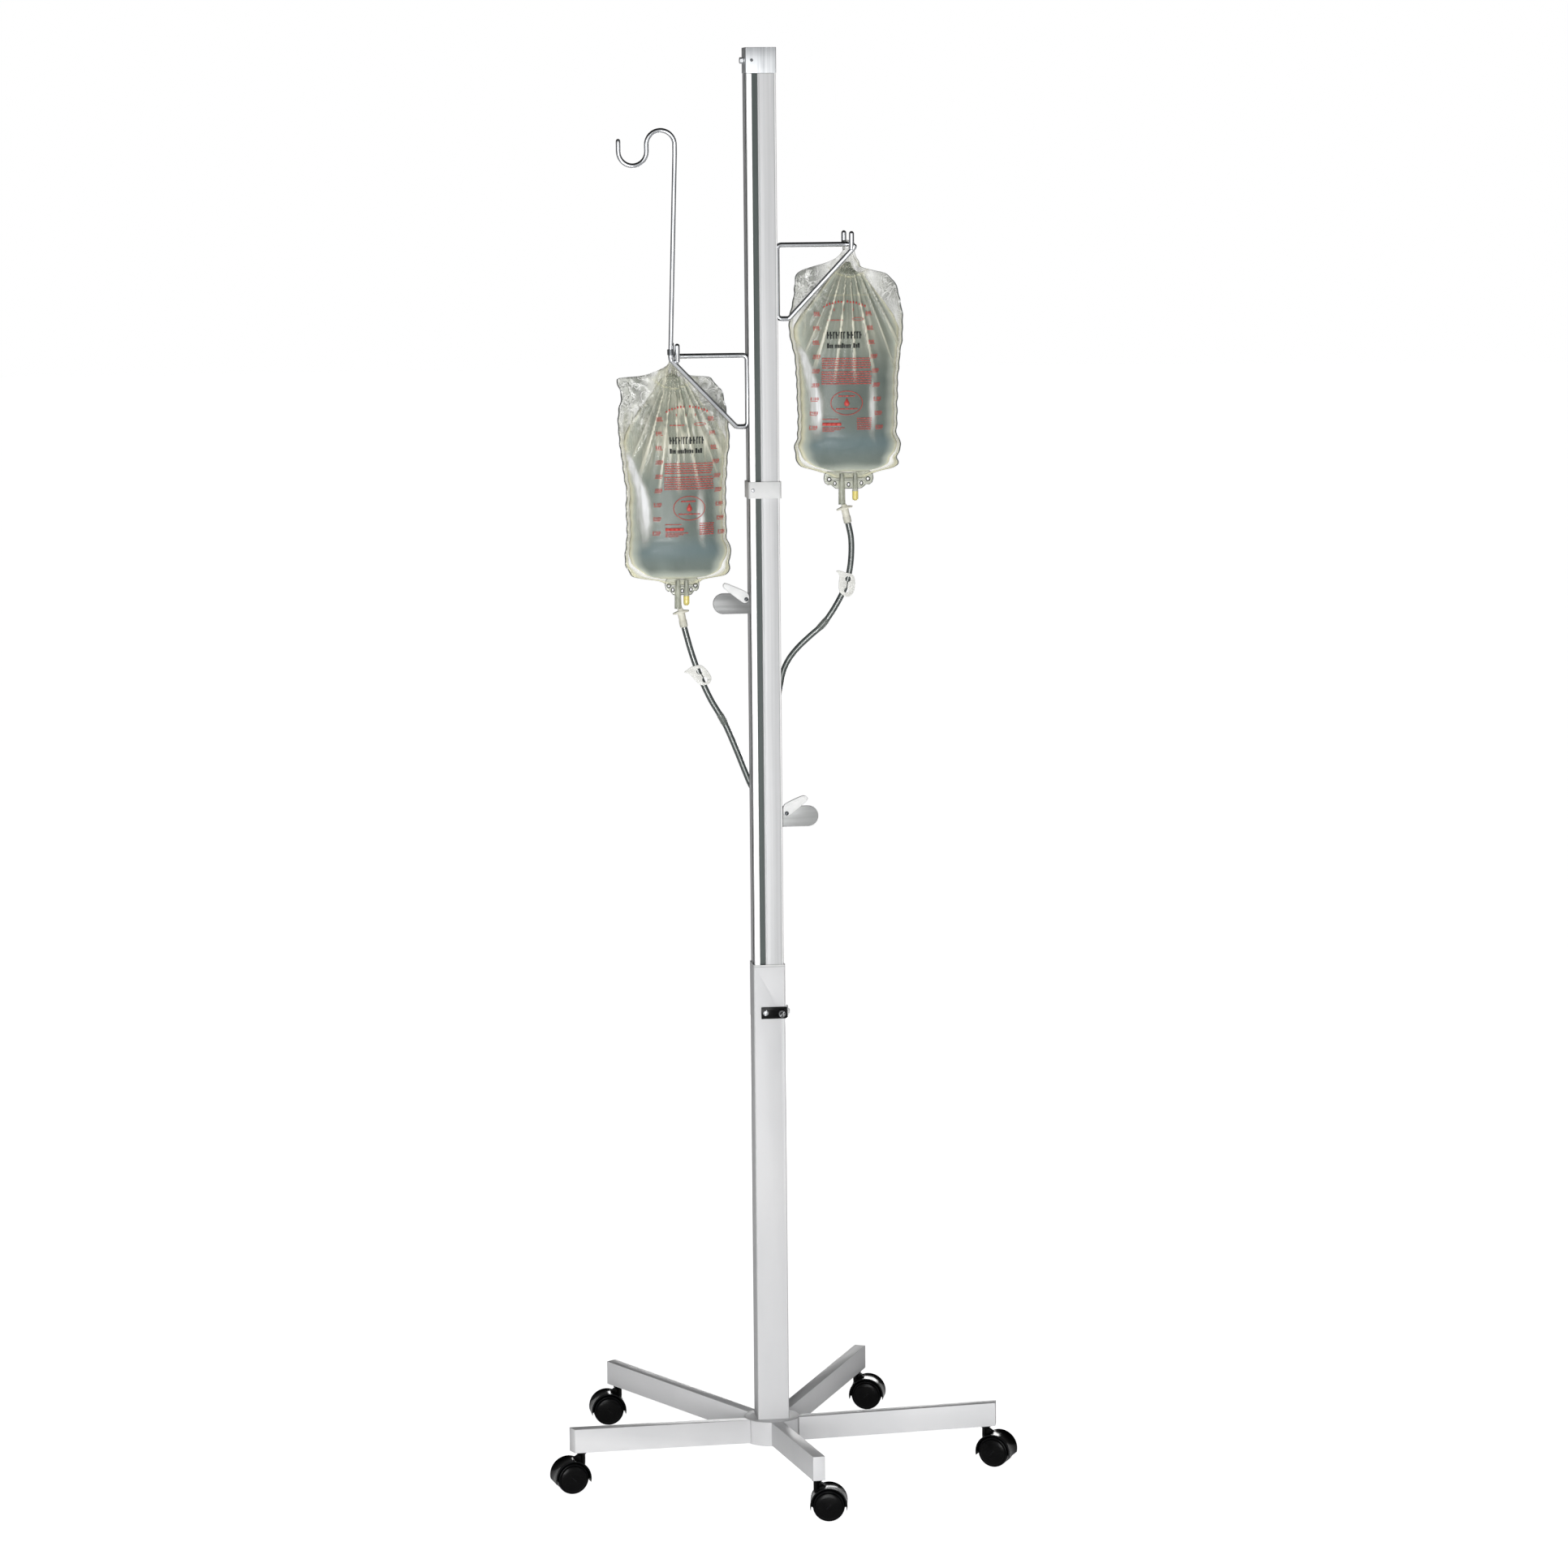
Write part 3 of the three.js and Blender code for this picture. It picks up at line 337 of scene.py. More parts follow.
def bag_film():
    """Clear vinyl film: see-through where it is single and smooth, creamy where it folds or is welded,
    milky under the pleats, with a sharp gloss and fine crinkles. It has painted shade in the pleat valleys,
    painted glints and dark lines of painted shade along the crinkles, painted highlights down its sides and
    a dark outline of painted shade at its rim."""
    n = Surface("bag_film")
    marks = ("crease", "valley_shade", "weld", "slack", "shine", "milk", "rim")
    crease, valley_shade, weld, slack, shine, milk, rim = (n.attribute(mark) for mark in marks)
    crinkle = n.noise(30, detail=4.0, distortion=2.2)
    ridge = n.math("ABSOLUTE", n.math("SUBTRACT", crinkle, 0.5))
    broad = n.noise(15, (1, 1, 0.6), 3.0, 1.0)
    streaks = n.noise(75, (1, 1, 0.12), 3.0, 0.5)
    body = n.mix(n.even(broad), "D8DAC8", "B4B8A6")
    body = n.mix(n.times(n.ramp(streaks, 0.42, 0.66), milk), body, "E9E7D2")
    # Painted shade in the pleat valleys.
    body = n.mix(n.times(valley_shade, 0.75), body, "727A70")
    body = n.mix(crease, body, "FAF8E4")
    body = n.mix(n.ramp(weld, 0.1, 0.9), body, "F0EDCB")
    patch = n.times(n.ramp(broad, 0.55, 0.42), slack)
    body = n.mix(slack, body, "DFE1D8")
    body = n.mix(n.times(patch, 0.9), body, "7E8377")
    # Painted glints along the crinkle ridges, and painted shade in dark lines beside them.
    body = n.mix(n.times(n.ramp(ridge, 0.030, 0.010), slack), body, "FFFFFB")
    crinkle_shade = n.times(n.ramp(ridge, 0.075, 0.055), n.ramp(ridge, 0.035, 0.05))
    body = n.mix(n.times(n.times(crinkle_shade, slack), 0.95), body, "4C5149")
    # Painted highlights: the bright bands down the sides.
    glare = n.times(shine, n.ramp(streaks, 0.25, 0.6, 0.55, 1.0))
    body = n.mix(glare, body, "FBFCFD")
    # A dark outline of painted shade along the rim.
    body = n.mix(rim, body, "424742")
    n.set(Base_Color=body)
    share = n.most(
        n.math("ADD", 0.08, n.times(crease, 0.92)), n.times(valley_shade, 0.45), n.times(weld, 0.75),
        n.times(milk, n.ramp(streaks, 0.40, 0.62, 0.18, 0.85)), n.times(slack, 0.62), glare,
        n.times(rim, 0.95),
    )
    n.set(Alpha=share)
    n.set(Roughness=n.even(broad, 0.05, 0.16))
    n.set(IOR=1.5, Coat_Weight=0.6, Coat_Roughness=0.05)
    height = n.math("ADD", n.times(crinkle, n.math("ADD", slack, 0.12)), crease)
    n.bump(height, 0.5, 0.0022)
    return n.material


def bag_water():
    """Water in the bag: grey-green in its depth, paler where it thins out and under the pleats."""
    n = Surface("bag_water")
    thin, low, high = (n.attribute(mark) for mark in ("thin", "low", "high"))
    cloud = n.noise(11, (1, 1, 0.4), 3.0, 0.8)
    body = n.mix(n.even(cloud), "5B6662", "7D8983")
    body = n.mix(n.ramp(high, 0.0, 1.0), body, "9DA294")
    body = n.mix(n.times(low, 0.8), body, "647A80")
    edge = n.math("ADD", thin, n.times(n.math("SUBTRACT", cloud, 0.5), 0.5))
    body = n.mix(n.ramp(edge, 0.10, 0.75, smooth=True), body, "BCC3B8")
    body = n.mix(n.ramp(edge, 0.60, 1.0, smooth=True), body, "F3EFD2")
    bubble = n.add(
        "ShaderNodeTexVoronoi", {"Vector": n.place, "Scale": 260.0}, feature="F1"
    ).outputs["Distance"]
    body = n.mix(n.ramp(bubble, 0.13, 0.09, 0.0, 0.35), body, "DCE2DC")
    n.set(Base_Color=body)
    n.set(Roughness=n.even(cloud, 0.22, 0.34))
    n.set(IOR=1.33)
    n.bump(cloud, 0.2, 0.002)
    return n.material


def smoky_tubing():
    """Soft vinyl tubing full of water: dark walls, with a painted highlight as a pale streak along each
    quarter.
    """
    n = Surface("smoky_tubing")
    around = n.attribute("around")
    # Painted highlight: a pale streak along each quarter.
    highlight_streak = n.ramp(n.math("ABSOLUTE", n.math("SINE", n.times(around, 2 * math.pi))), 0.30, 0.14)
    cloud = n.noise(60, detail=3.0)
    body = n.mix(n.even(cloud), "414848", "5A625F")
    body = n.mix(n.times(highlight_streak, 0.9), body, "E2E6E2")
    n.set(Base_Color=body)
    n.set(Roughness=n.even(cloud, 0.12, 0.22))
    n.set(Transmission_Weight=0.18, IOR=1.45, Coat_Weight=0.5, Coat_Roughness=0.08)
    n.bump(n.noise(500), 0.06, GRAIN_DEPTH)
    return n.material


def clear_moulding(name, colour, shade, alpha):
    """Clear vinyl with painted shade on its rims; a part's attribute "tip" turns it yellow and solid."""
    n = Surface(name)
    cloud = n.noise(120, detail=3.0)
    tip = n.attribute("tip")
    # Painted shade on the rims.
    rim_shade = n.times(n.wear(), 0.85)
    body = n.mix(n.even(cloud), colour, shade)
    body = n.mix(tip, body, "EBDB7E")
    body = n.mix(rim_shade, body, "565A55")
    n.set(Base_Color=body)
    share = n.even(cloud, alpha - 0.05, alpha + 0.05)
    n.set(Alpha=n.most(share, tip, rim_shade))
    n.set(Roughness=n.even(cloud, 0.08, 0.2))
    n.set(Coat_Weight=0.5, Coat_Roughness=0.05)
    n.bump(n.noise(700), 0.08, GRAIN_DEPTH)
    return n.material


def braided_cable():
    """Pale cord with a fine diagonal braid."""
    n = Surface("braided_cable")
    wave = n.add(
        "ShaderNodeTexWave", {"Vector": n.place, "Scale": 420.0, "Distortion": 1.0},
        bands_direction="DIAGONAL",
    )
    body = n.mix(wave.outputs["Fac"], "B9B4A2", "E4E0D2")
    n.set(Base_Color=body)
    n.set(Roughness=n.ramp(wave.outputs["Fac"], 0.0, 1.0, 0.6, 0.8))
    n.bump(wave.outputs["Fac"], 0.5, 0.0003)
    return n.material


def hook_and_loop():
    """A black woven strap with a fuzzy face."""
    n = Surface("strap_weave")
    x, y, z = n.axes()
    warp = n.math("SINE", n.times(n.math("ADD", x, y), 5200.0))
    weft = n.math("SINE", n.times(z, 5200.0))
    weave = n.ramp(n.times(warp, weft), -1.0, 1.0)
    fuzz = n.noise(1500, detail=3.0)
    body = n.mix(weave, "161719", "2C2E31")
    body = n.mix(n.ramp(fuzz, 0.5, 0.8, 0.0, 0.4), body, "4A4C50")
    n.set(Base_Color=body)
    n.set(Roughness=n.even(fuzz, 0.75, 0.95))
    n.set(Sheen_Weight=0.3)
    n.bump(weave, 0.6, 0.0003)
    return n.material


PAINT = white_paint()
EXTRUSION = extruded_aluminium()
CAP_METAL = brushed_cap()
# The lighter edge colours of the chrome and both steels are painted highlights along their edges.
CHROME = finish(
    "chrome_rod", "DDDFE2", "C6C9CD", 0.09, 1.0, scale=30, bump=0.012, edge="F2F3F4", spread=0.03,
    fine=300,
)
STEEL = finish("screw_steel", "D6D8DB", "B9BCC0", 0.30, 0.8, scale=300, bump=0.1, edge="EDEEF0")
DARK_STEEL = finish("dark_screw", "55585B", "3A3C3F", 0.32, 0.9, scale=300, bump=0.1, edge="A8ABAE")
# Two copies of one brushed metal: the left one darker as painted shade, the right one lighter as painted
# light; the light edge colour is a painted highlight.
PLATES = {
    side: finish(
        f"brushed_plate_{side}", colour, shade, 0.42, 0.35, scale=130, stretch=(0.06, 1, 1), bump=0.22,
        edge="E4E4E4", painted_edge_share=0.9, fine=500,
    )
    for side, colour, shade in (("left", "7A7B7B", "676968"), ("right", "A6A7A7", "8E908F"))
}
# The dark edge colours of the white nylon and the collar paint shade along their edges as a dark outline.
ENAMEL = finish(
    "white_nylon", "F2F2F1", "E8E9E8", 0.40, scale=70, bump=0.12, edge="72767A", painted_edge_share=0.95, fine=1100,
)
COLLAR_WHITE = finish(
    "collar_moulding", "F8F8F7", "F0F1F0", 0.38, scale=70, bump=0.12, edge="74787B", painted_edge_share=0.95,
    fine=1100,
)
# The lighter edge colours of the black, knob, tread and grey plastics are painted highlights along their
# edges.
BLACK = finish(
    "black_nylon", "050505", "090909", 0.17, gloss=0.10, scale=80, bump=0.10, edge="2A2C2E", fine=1300,
)
KNOB = finish(
    "knob_plastic", "0B0B0C", "151516", 0.15, scale=80, bump=0.05, edge="C4C6C9", painted_edge_share=1.0, gloss=0.6,
)
TREAD = finish(
    "black_tread", "050506", "090909", 0.20, gloss=0.10, scale=90, bump=0.2, edge="2B2D2F", fine=1500,
)
GREY = finish("grey_acetal", "9B9E9F", "86898A", 0.5, scale=90, bump=0.12, edge="C9CBCC")
# The dark edge colours of the ivory and clamp mouldings paint shade along their edges as a dark outline.
IVORY = finish(
    "ivory_moulding", "EAE8DA", "DEDCCB", 0.36, scale=110, bump=0.10, edge="74766E", painted_edge_share=0.9,
)
CLAMP_WHITE = finish(
    "clamp_moulding", "EBEBE6", "DEDED8", 0.34, scale=110, bump=0.10, edge="5C5F5B", painted_edge_share=1.0,
)
FILM = bag_film()
WATER = bag_water()
TUBING = smoky_tubing()
PORT = clear_moulding("port_vinyl", "D5D8C6", "B4B8A4", 0.66)
CLEAR_SLEEVE = clear_moulding("clear_sleeve", "8D938D", "737A75", 0.62)
CABLE = braided_cable()
STRAP = hook_and_loop()
DARK_CORE = finish("outlet_core", "77796A", "5F6256", 0.3, scale=200, bump=0.1)
# Dark rings of painted shade round the port strip's holes and edge.
OUTLINE_SHADE = finish("painted_outline_shade", "3A3D38", "2C2F2B", 0.3, scale=200, bump=0.1)
RED_INK = finish("red_ink", "C9403A", "D9605A", 0.5, scale=200, bump=0.05)
BLACK_INK = finish("black_ink", "1B1E1E", "2D3231", 0.5, scale=200, bump=0.05)


# ------------------------------------------------------------------ mesh helpers
def add_object(name, points, faces, material, sharp=35.0):
    """A mesh object from points in column millimetres."""
    mesh = bpy.data.meshes.new(name)
    mesh.from_pydata([at(*p) for p in points], [], faces)
    return finish_object(name, mesh, material, sharp)


def finish_object(name, mesh, material, sharp=35.0):
    work = bmesh.new()
    work.from_mesh(mesh)
    bmesh.ops.recalc_face_normals(work, faces=work.faces)
    work.to_mesh(mesh)
    work.free()
    mesh.materials.clear()
    mesh.materials.append(material)
    mesh.shade_smooth()
    mesh.set_sharp_from_angle(angle=math.radians(sharp))
    return new_object(name, mesh)


def loft(rings):
    """Points and faces of a closed skin through rings of equal count, with flat ends."""
    count = len(rings[0])
    points = [p for ring in rings for p in ring]
    faces = []
    for r in range(len(rings) - 1):
        for k in range(count):
            a, b = r * count + k, r * count + (k + 1) % count
            faces.append((a, b, b + count, a + count))
    faces.append(tuple(range(count))[::-1])
    last = (len(rings) - 1) * count
    faces.append(tuple(range(last, last + count)))
    return points, faces


def frames_along(path):
    """Tangent and a steady pair of normals at each point of a path."""
    pts = np.array(path, float)
    ahead = np.vstack([pts[1:] - pts[:-1], pts[-1:] - pts[-2:-1]])
    behind = np.vstack([ahead[:1], ahead[:-1]])
    tangents = ahead / np.linalg.norm(ahead, axis=1)[:, None]
    tangents = tangents + behind / np.linalg.norm(behind, axis=1)[:, None]
    tangents /= np.linalg.norm(tangents, axis=1)[:, None]
    guess = np.array([0, -1.0, 0]) if abs(tangents[0][1]) < 0.9 else np.array([1.0, 0, 0])
    made = []
    for t in tangents:
        side = guess - t * guess.dot(t)
        side /= np.linalg.norm(side)
        made.append((t, side, np.cross(t, side)))
        guess = side
    return pts, made


def tube_rings(path, radius, sides):
    pts, made = frames_along(path)
    radii = radius if hasattr(radius, "__len__") else [radius] * len(pts)
    rings = []
    for p, r, (_, side, other) in zip(pts, radii, made):
        angles = np.arange(sides) * 2 * math.pi / sides
        rings.append([tuple(p + r * (math.cos(a) * side + math.sin(a) * other)) for a in angles])
    return rings


def tube(name, path, radius, material, sides):
    """A round bar or tube along a path in column millimetres."""
    obj = add_object(name, *loft(tube_rings(path, radius, sides)), material, 40)
    around = obj.data.attributes.new("around", "FLOAT", "POINT")
    around.data.foreach_set("value", [(k % sides) / sides for k in range(len(obj.data.vertices))])
    return obj


def rounded_ends(path, radius, start=True, steps=5):
    """A path and its radii, with the far end rounded over, and the near end too unless told not to."""
    pts = [Vector(p) for p in path]
    head = (pts[0] - pts[1]).normalized()
    tail = (pts[-1] - pts[-2]).normalized()
    quarter = [math.pi / 2 * k / steps for k in range(1, steps + 1)]
    shrunk = [max(radius * math.cos(a), 0.05) for a in quarter]
    last = pts[-1] - tail * radius
    body = pts[:-1] + [last] + [last + tail * radius * math.sin(a) for a in quarter]
    radii = [radius] * len(pts) + shrunk
    if start:
        first = pts[0] - head * radius
        body = [first + head * radius * math.sin(a) for a in quarter[::-1]] + [first] + body[1:]
        radii = shrunk[::-1] + radii
    return [tuple(p) for p in body], radii


def bent(corners, radius):
    """Replaces each inner corner of a polyline by an arc."""
    steps = 10
    pts = [Vector(c) for c in corners]
    stations = [pts[0]]
    for before, corner, after in zip(pts, pts[1:], pts[2:]):
        into, out = (corner - before).normalized(), (after - corner).normalized()
        turn = into.angle(out)
        inward = (out - into * out.dot(into)).normalized()
        start = corner - into * radius * math.tan(turn / 2)
        for k in range(steps + 1):
            a = turn * k / steps
            stations.append(start + into * radius * math.sin(a) + inward * radius * (1 - math.cos(a)))
    return [tuple(p) for p in stations + [pts[-1]]]


def smooth_path(points, spacing):
    """A centripetal Catmull-Rom curve through a few points, at close even spacing."""
    pts = np.array(points, float)
    pts = np.vstack([2 * pts[0] - pts[1], pts, 2 * pts[-1] - pts[-2]])
    dense = []
    for p0, p1, p2, p3 in zip(pts, pts[1:], pts[2:], pts[3:]):
        t0 = 0.0
        t1 = t0 + np.linalg.norm(p1 - p0) ** 0.5
        t2 = t1 + np.linalg.norm(p2 - p1) ** 0.5
        t3 = t2 + np.linalg.norm(p3 - p2) ** 0.5
        for t in np.linspace(t1, t2, 24, endpoint=False):
            a1 = (t1 - t) / (t1 - t0) * p0 + (t - t0) / (t1 - t0) * p1
            a2 = (t2 - t) / (t2 - t1) * p1 + (t - t1) / (t2 - t1) * p2
            a3 = (t3 - t) / (t3 - t2) * p2 + (t - t2) / (t3 - t2) * p3
            b1 = (t2 - t) / (t2 - t0) * a1 + (t - t0) / (t2 - t0) * a2
            b2 = (t3 - t) / (t3 - t1) * a2 + (t - t1) / (t3 - t1) * a3
            dense.append((t2 - t) / (t2 - t1) * b1 + (t - t1) / (t2 - t1) * b2)
    dense = np.array(dense + [pts[-2]])
    steps = np.linalg.norm(np.diff(dense, axis=0), axis=1)
    run = np.concatenate([[0], np.cumsum(steps)])
    count = max(2, int(round(run[-1] / spacing)))
    wanted = np.linspace(0, run[-1], count + 1)
    return [tuple(np.interp(s, run, dense[:, i]) for i in range(3)) for s in wanted]


def spline(p0, p1, p2, p3, t):
    """A point of the uniform Catmull-Rom curve between p1 and p2."""
    return 0.5 * (
        2 * p1 + (p2 - p0) * t + (2 * p0 - 5 * p1 + 4 * p2 - p3) * t**2
        + (3 * p1 - p0 - 3 * p2 + p3) * t**3
    )


def turn_to(direction):
    return Vector((0, 0, 1)).rotation_difference(Vector(direction).normalized()).to_matrix()


def lathe(name, profile, place, direction, material, sides, flatten=None):
    """A turned body from [radius, height] pairs along a direction, starting and ending on the axis."""
    turn = turn_to(direction)
    rings = []
    for r, h in profile:
        ring = [Vector((x, y, h)) for x, y in circle(max(r, 0.02), sides)]
        if flatten:
            ring = [flatten(local, r, h) for local in ring]
        rings.append([tuple(Vector(place) + turn @ local) for local in ring])
    return add_object(name, *loft(rings), material)


def slab(name, outline, front, back, material, bevel, place, holes=(), spin=0.0):
    """An outline in the X-Z plane with rounded edges, between two depths in Y. Spin is in degrees
    about its own middle, counter-clockwise from the front."""
    curve = bpy.data.curves.new(name, "CURVE")
    curve.dimensions = "2D"
    curve.fill_mode = "BOTH"
    curve.extrude = (back - front) / 2 - bevel
    curve.bevel_depth = bevel
    curve.bevel_resolution = 2
    curve.offset = -bevel
    for loop in (outline, *holes):
        strand = curve.splines.new("POLY")
        strand.points.add(len(loop) - 1)
        strand.use_cyclic_u = True
        for point, (x, z) in zip(strand.points, loop):
            point.co = (x, z, 0, 1)
    holder = new_object(name, curve)
    mesh = evaluated_mesh(holder)
    bpy.data.objects.remove(holder)
    turn = math.radians(spin)
    middle = (front + back) / 2
    for v in mesh.vertices:
        x, z, depth = v.co
        v.co = at(
            place[0] + x * math.cos(turn) - z * math.sin(turn),
            place[1] + middle - depth,
            place[2] + x * math.sin(turn) + z * math.cos(turn),
        )
    work = bmesh.new()
    work.from_mesh(mesh)
    bmesh.ops.remove_doubles(work, verts=work.verts, dist=0.00001)
    work.to_mesh(mesh)
    work.free()
    mesh.name = name
    return finish_object(name, mesh, material, 40)


def arc(centre, radius, start, end, steps):
    """Points of an arc in a plane, angles in degrees."""
    return [
        (
            centre[0] + radius * math.cos(math.radians(start + (end - start) * k / steps)),
            centre[1] + radius * math.sin(math.radians(start + (end - start) * k / steps)),
        )
        for k in range(steps + 1)
    ]


def circle(radius, sides, start=0.0):
    """Points of a closed ring in a plane, from an angle in radians."""
    angles = [start + 2 * math.pi * k / sides for k in range(sides)]
    return [(radius * math.cos(a), radius * math.sin(a)) for a in angles]


def round_loop(points):
    """A closed smooth outline through a few points."""
    pts = np.array(points, float)
    made = []
    count = len(pts)
    for i in range(count):
        p0, p1, p2, p3 = (pts[(i + k - 1) % count] for k in range(4))
        for t in np.linspace(0, 1, 6, endpoint=False):
            made.append(tuple(spline(p0, p1, p2, p3, t)))
    return made


def box_piece(name, low, high, bevel, material):
    """A block with rounded edges."""
    work = bmesh.new()
    bmesh.ops.create_cube(work, size=1)
    middle = [(a + b) / 2 for a, b in zip(low, high)]
    size = [b - a for a, b in zip(low, high)]
    for v in work.verts:
        v.co = at(*(m + c * s for m, c, s in zip(middle, v.co, size)))
    bmesh.ops.bevel(
        work, geom=list(work.edges), offset=bevel * MM, segments=3, profile=0.5, affect="EDGES"
    )
    mesh = bpy.data.meshes.new(name)
    work.to_mesh(mesh)
    work.free()
    return finish_object(name, mesh, material)


def refine(node, material, bevel, segments=2):
    """The CAD node's own shape as a new piece, with its hard edges eased by a small bevel."""
    source = frame["nodes"][node]
    work = bmesh.new()
    work.from_mesh(source.data)
    bmesh.ops.remove_doubles(work, verts=work.verts, dist=0.00002)
    bmesh.ops.dissolve_limit(work, angle_limit=math.radians(0.4), verts=work.verts, edges=work.edges)
    hard = [e for e in work.edges if len(e.link_faces) == 2 and e.calc_face_angle(0) > math.radians(40)]
    bmesh.ops.bevel(
        work, geom=hard, offset=bevel * MM, segments=segments, profile=0.5, affect="EDGES",
        clamp_overlap=True,
    )
    mesh = bpy.data.meshes.new(node)
    work.to_mesh(mesh)
    work.free()
    piece = finish_object(f"{node}_finish", mesh, material, 30)
    dress([piece], source["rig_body"], node)


def dress(pieces, body, node=None):
    """Sends pieces along with a body, and hides the node that they stand in for."""
    for piece in pieces:
        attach(piece, body)
        if node:
            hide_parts(node)


def evaluated_mesh(obj):
    bpy.context.view_layer.update()
    return bpy.data.meshes.new_from_object(obj.evaluated_get(bpy.context.evaluated_depsgraph_get()))


def combine(piece, tools, operation, sharp):
    """Joins the tools to a piece or cuts them out of it, removes them and gives the new mesh."""
    for tool in tools:
        modifier = piece.modifiers.new(operation.lower(), "BOOLEAN")
        modifier.operation = operation
        modifier.solver = "EXACT"
        modifier.object = tool
    mesh = evaluated_mesh(piece)
    piece.modifiers.clear()
    for tool in tools:
        bpy.data.objects.remove(tool)
    mesh.shade_smooth()
    mesh.set_sharp_from_angle(angle=math.radians(sharp))
    return mesh


def set_values(obj, name, values):
    layer = obj.data.attributes.new(name, "FLOAT", "POINT")
    layer.data.foreach_set("value", np.asarray(values, np.float32))


# ------------------------------------------------------------------ tubing, the free cords
TUBE_DIAMETER = 9.5
TUBES = {
    "left": [
        (-126.6, 8, 1357), (-116, 8, 1318), (-102.9, 8, 1279.8), (-86, 9, 1242), (-64.3, 13, 1204.4),
        (-44, 20, 1158), (-29, 28, 1121), (-20, 32, 1100), (-9, 35, 1082), (0, 36, 1064), (1, 36, 1046),
    ],
    "right": [
        (136.7, 8, 1517), (141, 8, 1495), (141.6, 8, 1472.4), (139, 8, 1445), (132.1, 8, 1418.3),
        (116, 9, 1386), (95.3, 11, 1356.7), (75, 15, 1338), (57.7, 20, 1321), (44, 26, 1303),
        (35, 31, 1284), (30, 33.5, 1262), (26, 34.5, 1238), (22.5, 35.5, 1190), (19, 36, 1120),
        (15, 36, 1046),
    ],
}
# Heights between which a tube passes from its hanger to the mast.
TUBE_BLEND = {"left": (1195, 1052), "right": (1340, 1052)}
HANK_FRONT, HANK_BACK, HANK_LOW, HANK_HIGH = 33.75, 90.75, 805, 955
HANK_LAYERS = (-5.6, 4.1, 13.9, 23.6)
DRAIN_EXIT = (8, 36, 1000)
DRAIN_LEAD = [
    DRAIN_EXIT, (7.7, 35.2, 991), (5.4, 33.2, 981), (1.6, 31.8, 971), (-2.3, 31.2, 961),
    (-5.0, 31.8, 951), (-5.6, 33.0, 938), (-5.6, HANK_FRONT, 920),
]
DRAIN_TAIL = [(23.6, HANK_FRONT, 880), (23.6, 34.4, 850), (23.6, 35.6, 810), (23.6, 36, 777)]


def hank_turns():
    """Three long turns, each a fold at the bottom, a rear run, a fold at the top and a front run."""
    radius = (HANK_BACK - HANK_FRONT) / 2
    middle = (HANK_BACK + HANK_FRONT) / 2
    points = []
    for start, end in zip(HANK_LAYERS, HANK_LAYERS[1:]):
        turn = [(HANK_FRONT, 880), (HANK_FRONT, 840)]
        turn += [(middle - y, HANK_LOW - z) for y, z in arc((0, 0), radius, 0, 180, 8)]
        turn += [(HANK_BACK, 843), (HANK_BACK, 880), (HANK_BACK, 918)]
        turn += [(middle + y, HANK_HIGH + z) for y, z in arc((0, 0), radius, 0, 180, 8)]
        turn += [(HANK_FRONT, 918)]
        for k, (y, z) in enumerate(turn):
            points.append((start + (end - start) * k / len(turn), y, z))
    return points


def free_tube(name, points, nodes, body=None, blend=None):
    path = smooth_path(points, 3.2)
    piece = tube(name, path, TUBE_DIAMETER / 2, TUBING, sides=16)
    if blend:
        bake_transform(piece)
    else:
        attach(piece, body)
    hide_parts(*nodes)
    return piece


def between(side):
    """The blend of anything that hangs between a hanger and the mast."""
    high, low = TUBE_BLEND[side]
    return (f"hanger_{side}", "mast", at(0, 0, high), at(0, 0, low))


SLEEVE_HEIGHTS = {"left": 1209, "right": 1357}
SLEEVE_LENGTH = 22


def sleeve(side):
    """A clear joint sleeve pushed over the tubing."""
    path = smooth_path(TUBES[side], 2.0)
    near = min(range(len(path)), key=lambda i: abs(path[i][2] - SLEEVE_HEIGHTS[side]))
    span = int(SLEEVE_LENGTH / 4)
    part = path[near - span : near + span + 1]
    radii = [5.7 if 1 < i < len(part) - 2 else 5.1 for i in range(len(part))]
    piece = tube(f"tube_joint_sleeve_{side}", part, radii, CLEAR_SLEEVE, sides=20)
    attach(piece, f"hanger_{side}")
    return piece


def end_connector():
    """The barbed fitting that ends the drain line."""
    profile = [(0, 746), (3.2, 746), (4.6, 746.8), (4.9, 748.5), (5.2, 750)]
    for ring in range(4):
        z = 751 + ring * 2.7
        profile += [(5.9, z), (5.9, z + 1.4), (5.2, z + 1.9)]
    profile += [(5.4, 762.6), (6.6, 763), (6.6, 768), (5.3, 769), (5.6, 779.6), (5.2, 780.2), (0, 780.2)]
    x, y = DRAIN_TAIL[-1][0], DRAIN_TAIL[-1][1]
    piece = lathe("end_connector_fitting", profile, (x, y, 0), (0, 0, 1), IVORY, sides=28)
    dress([piece], "mast", "end_connector")
    return piece


def keyhole(first, first_radius, second, second_radius):
    """Two round openings joined by a narrow slit."""
    slit = 0.55
    along = math.degrees(math.atan2(second[1] - first[1], second[0] - first[0]))
    open_first = math.degrees(math.asin(slit / first_radius))
    open_second = math.degrees(math.asin(slit / second_radius))
    return arc(first, first_radius, along + open_first, along + 360 - open_first, 18) + arc(
        second, second_radius, along + 180 + open_second, along + 540 - open_second, 18
    )


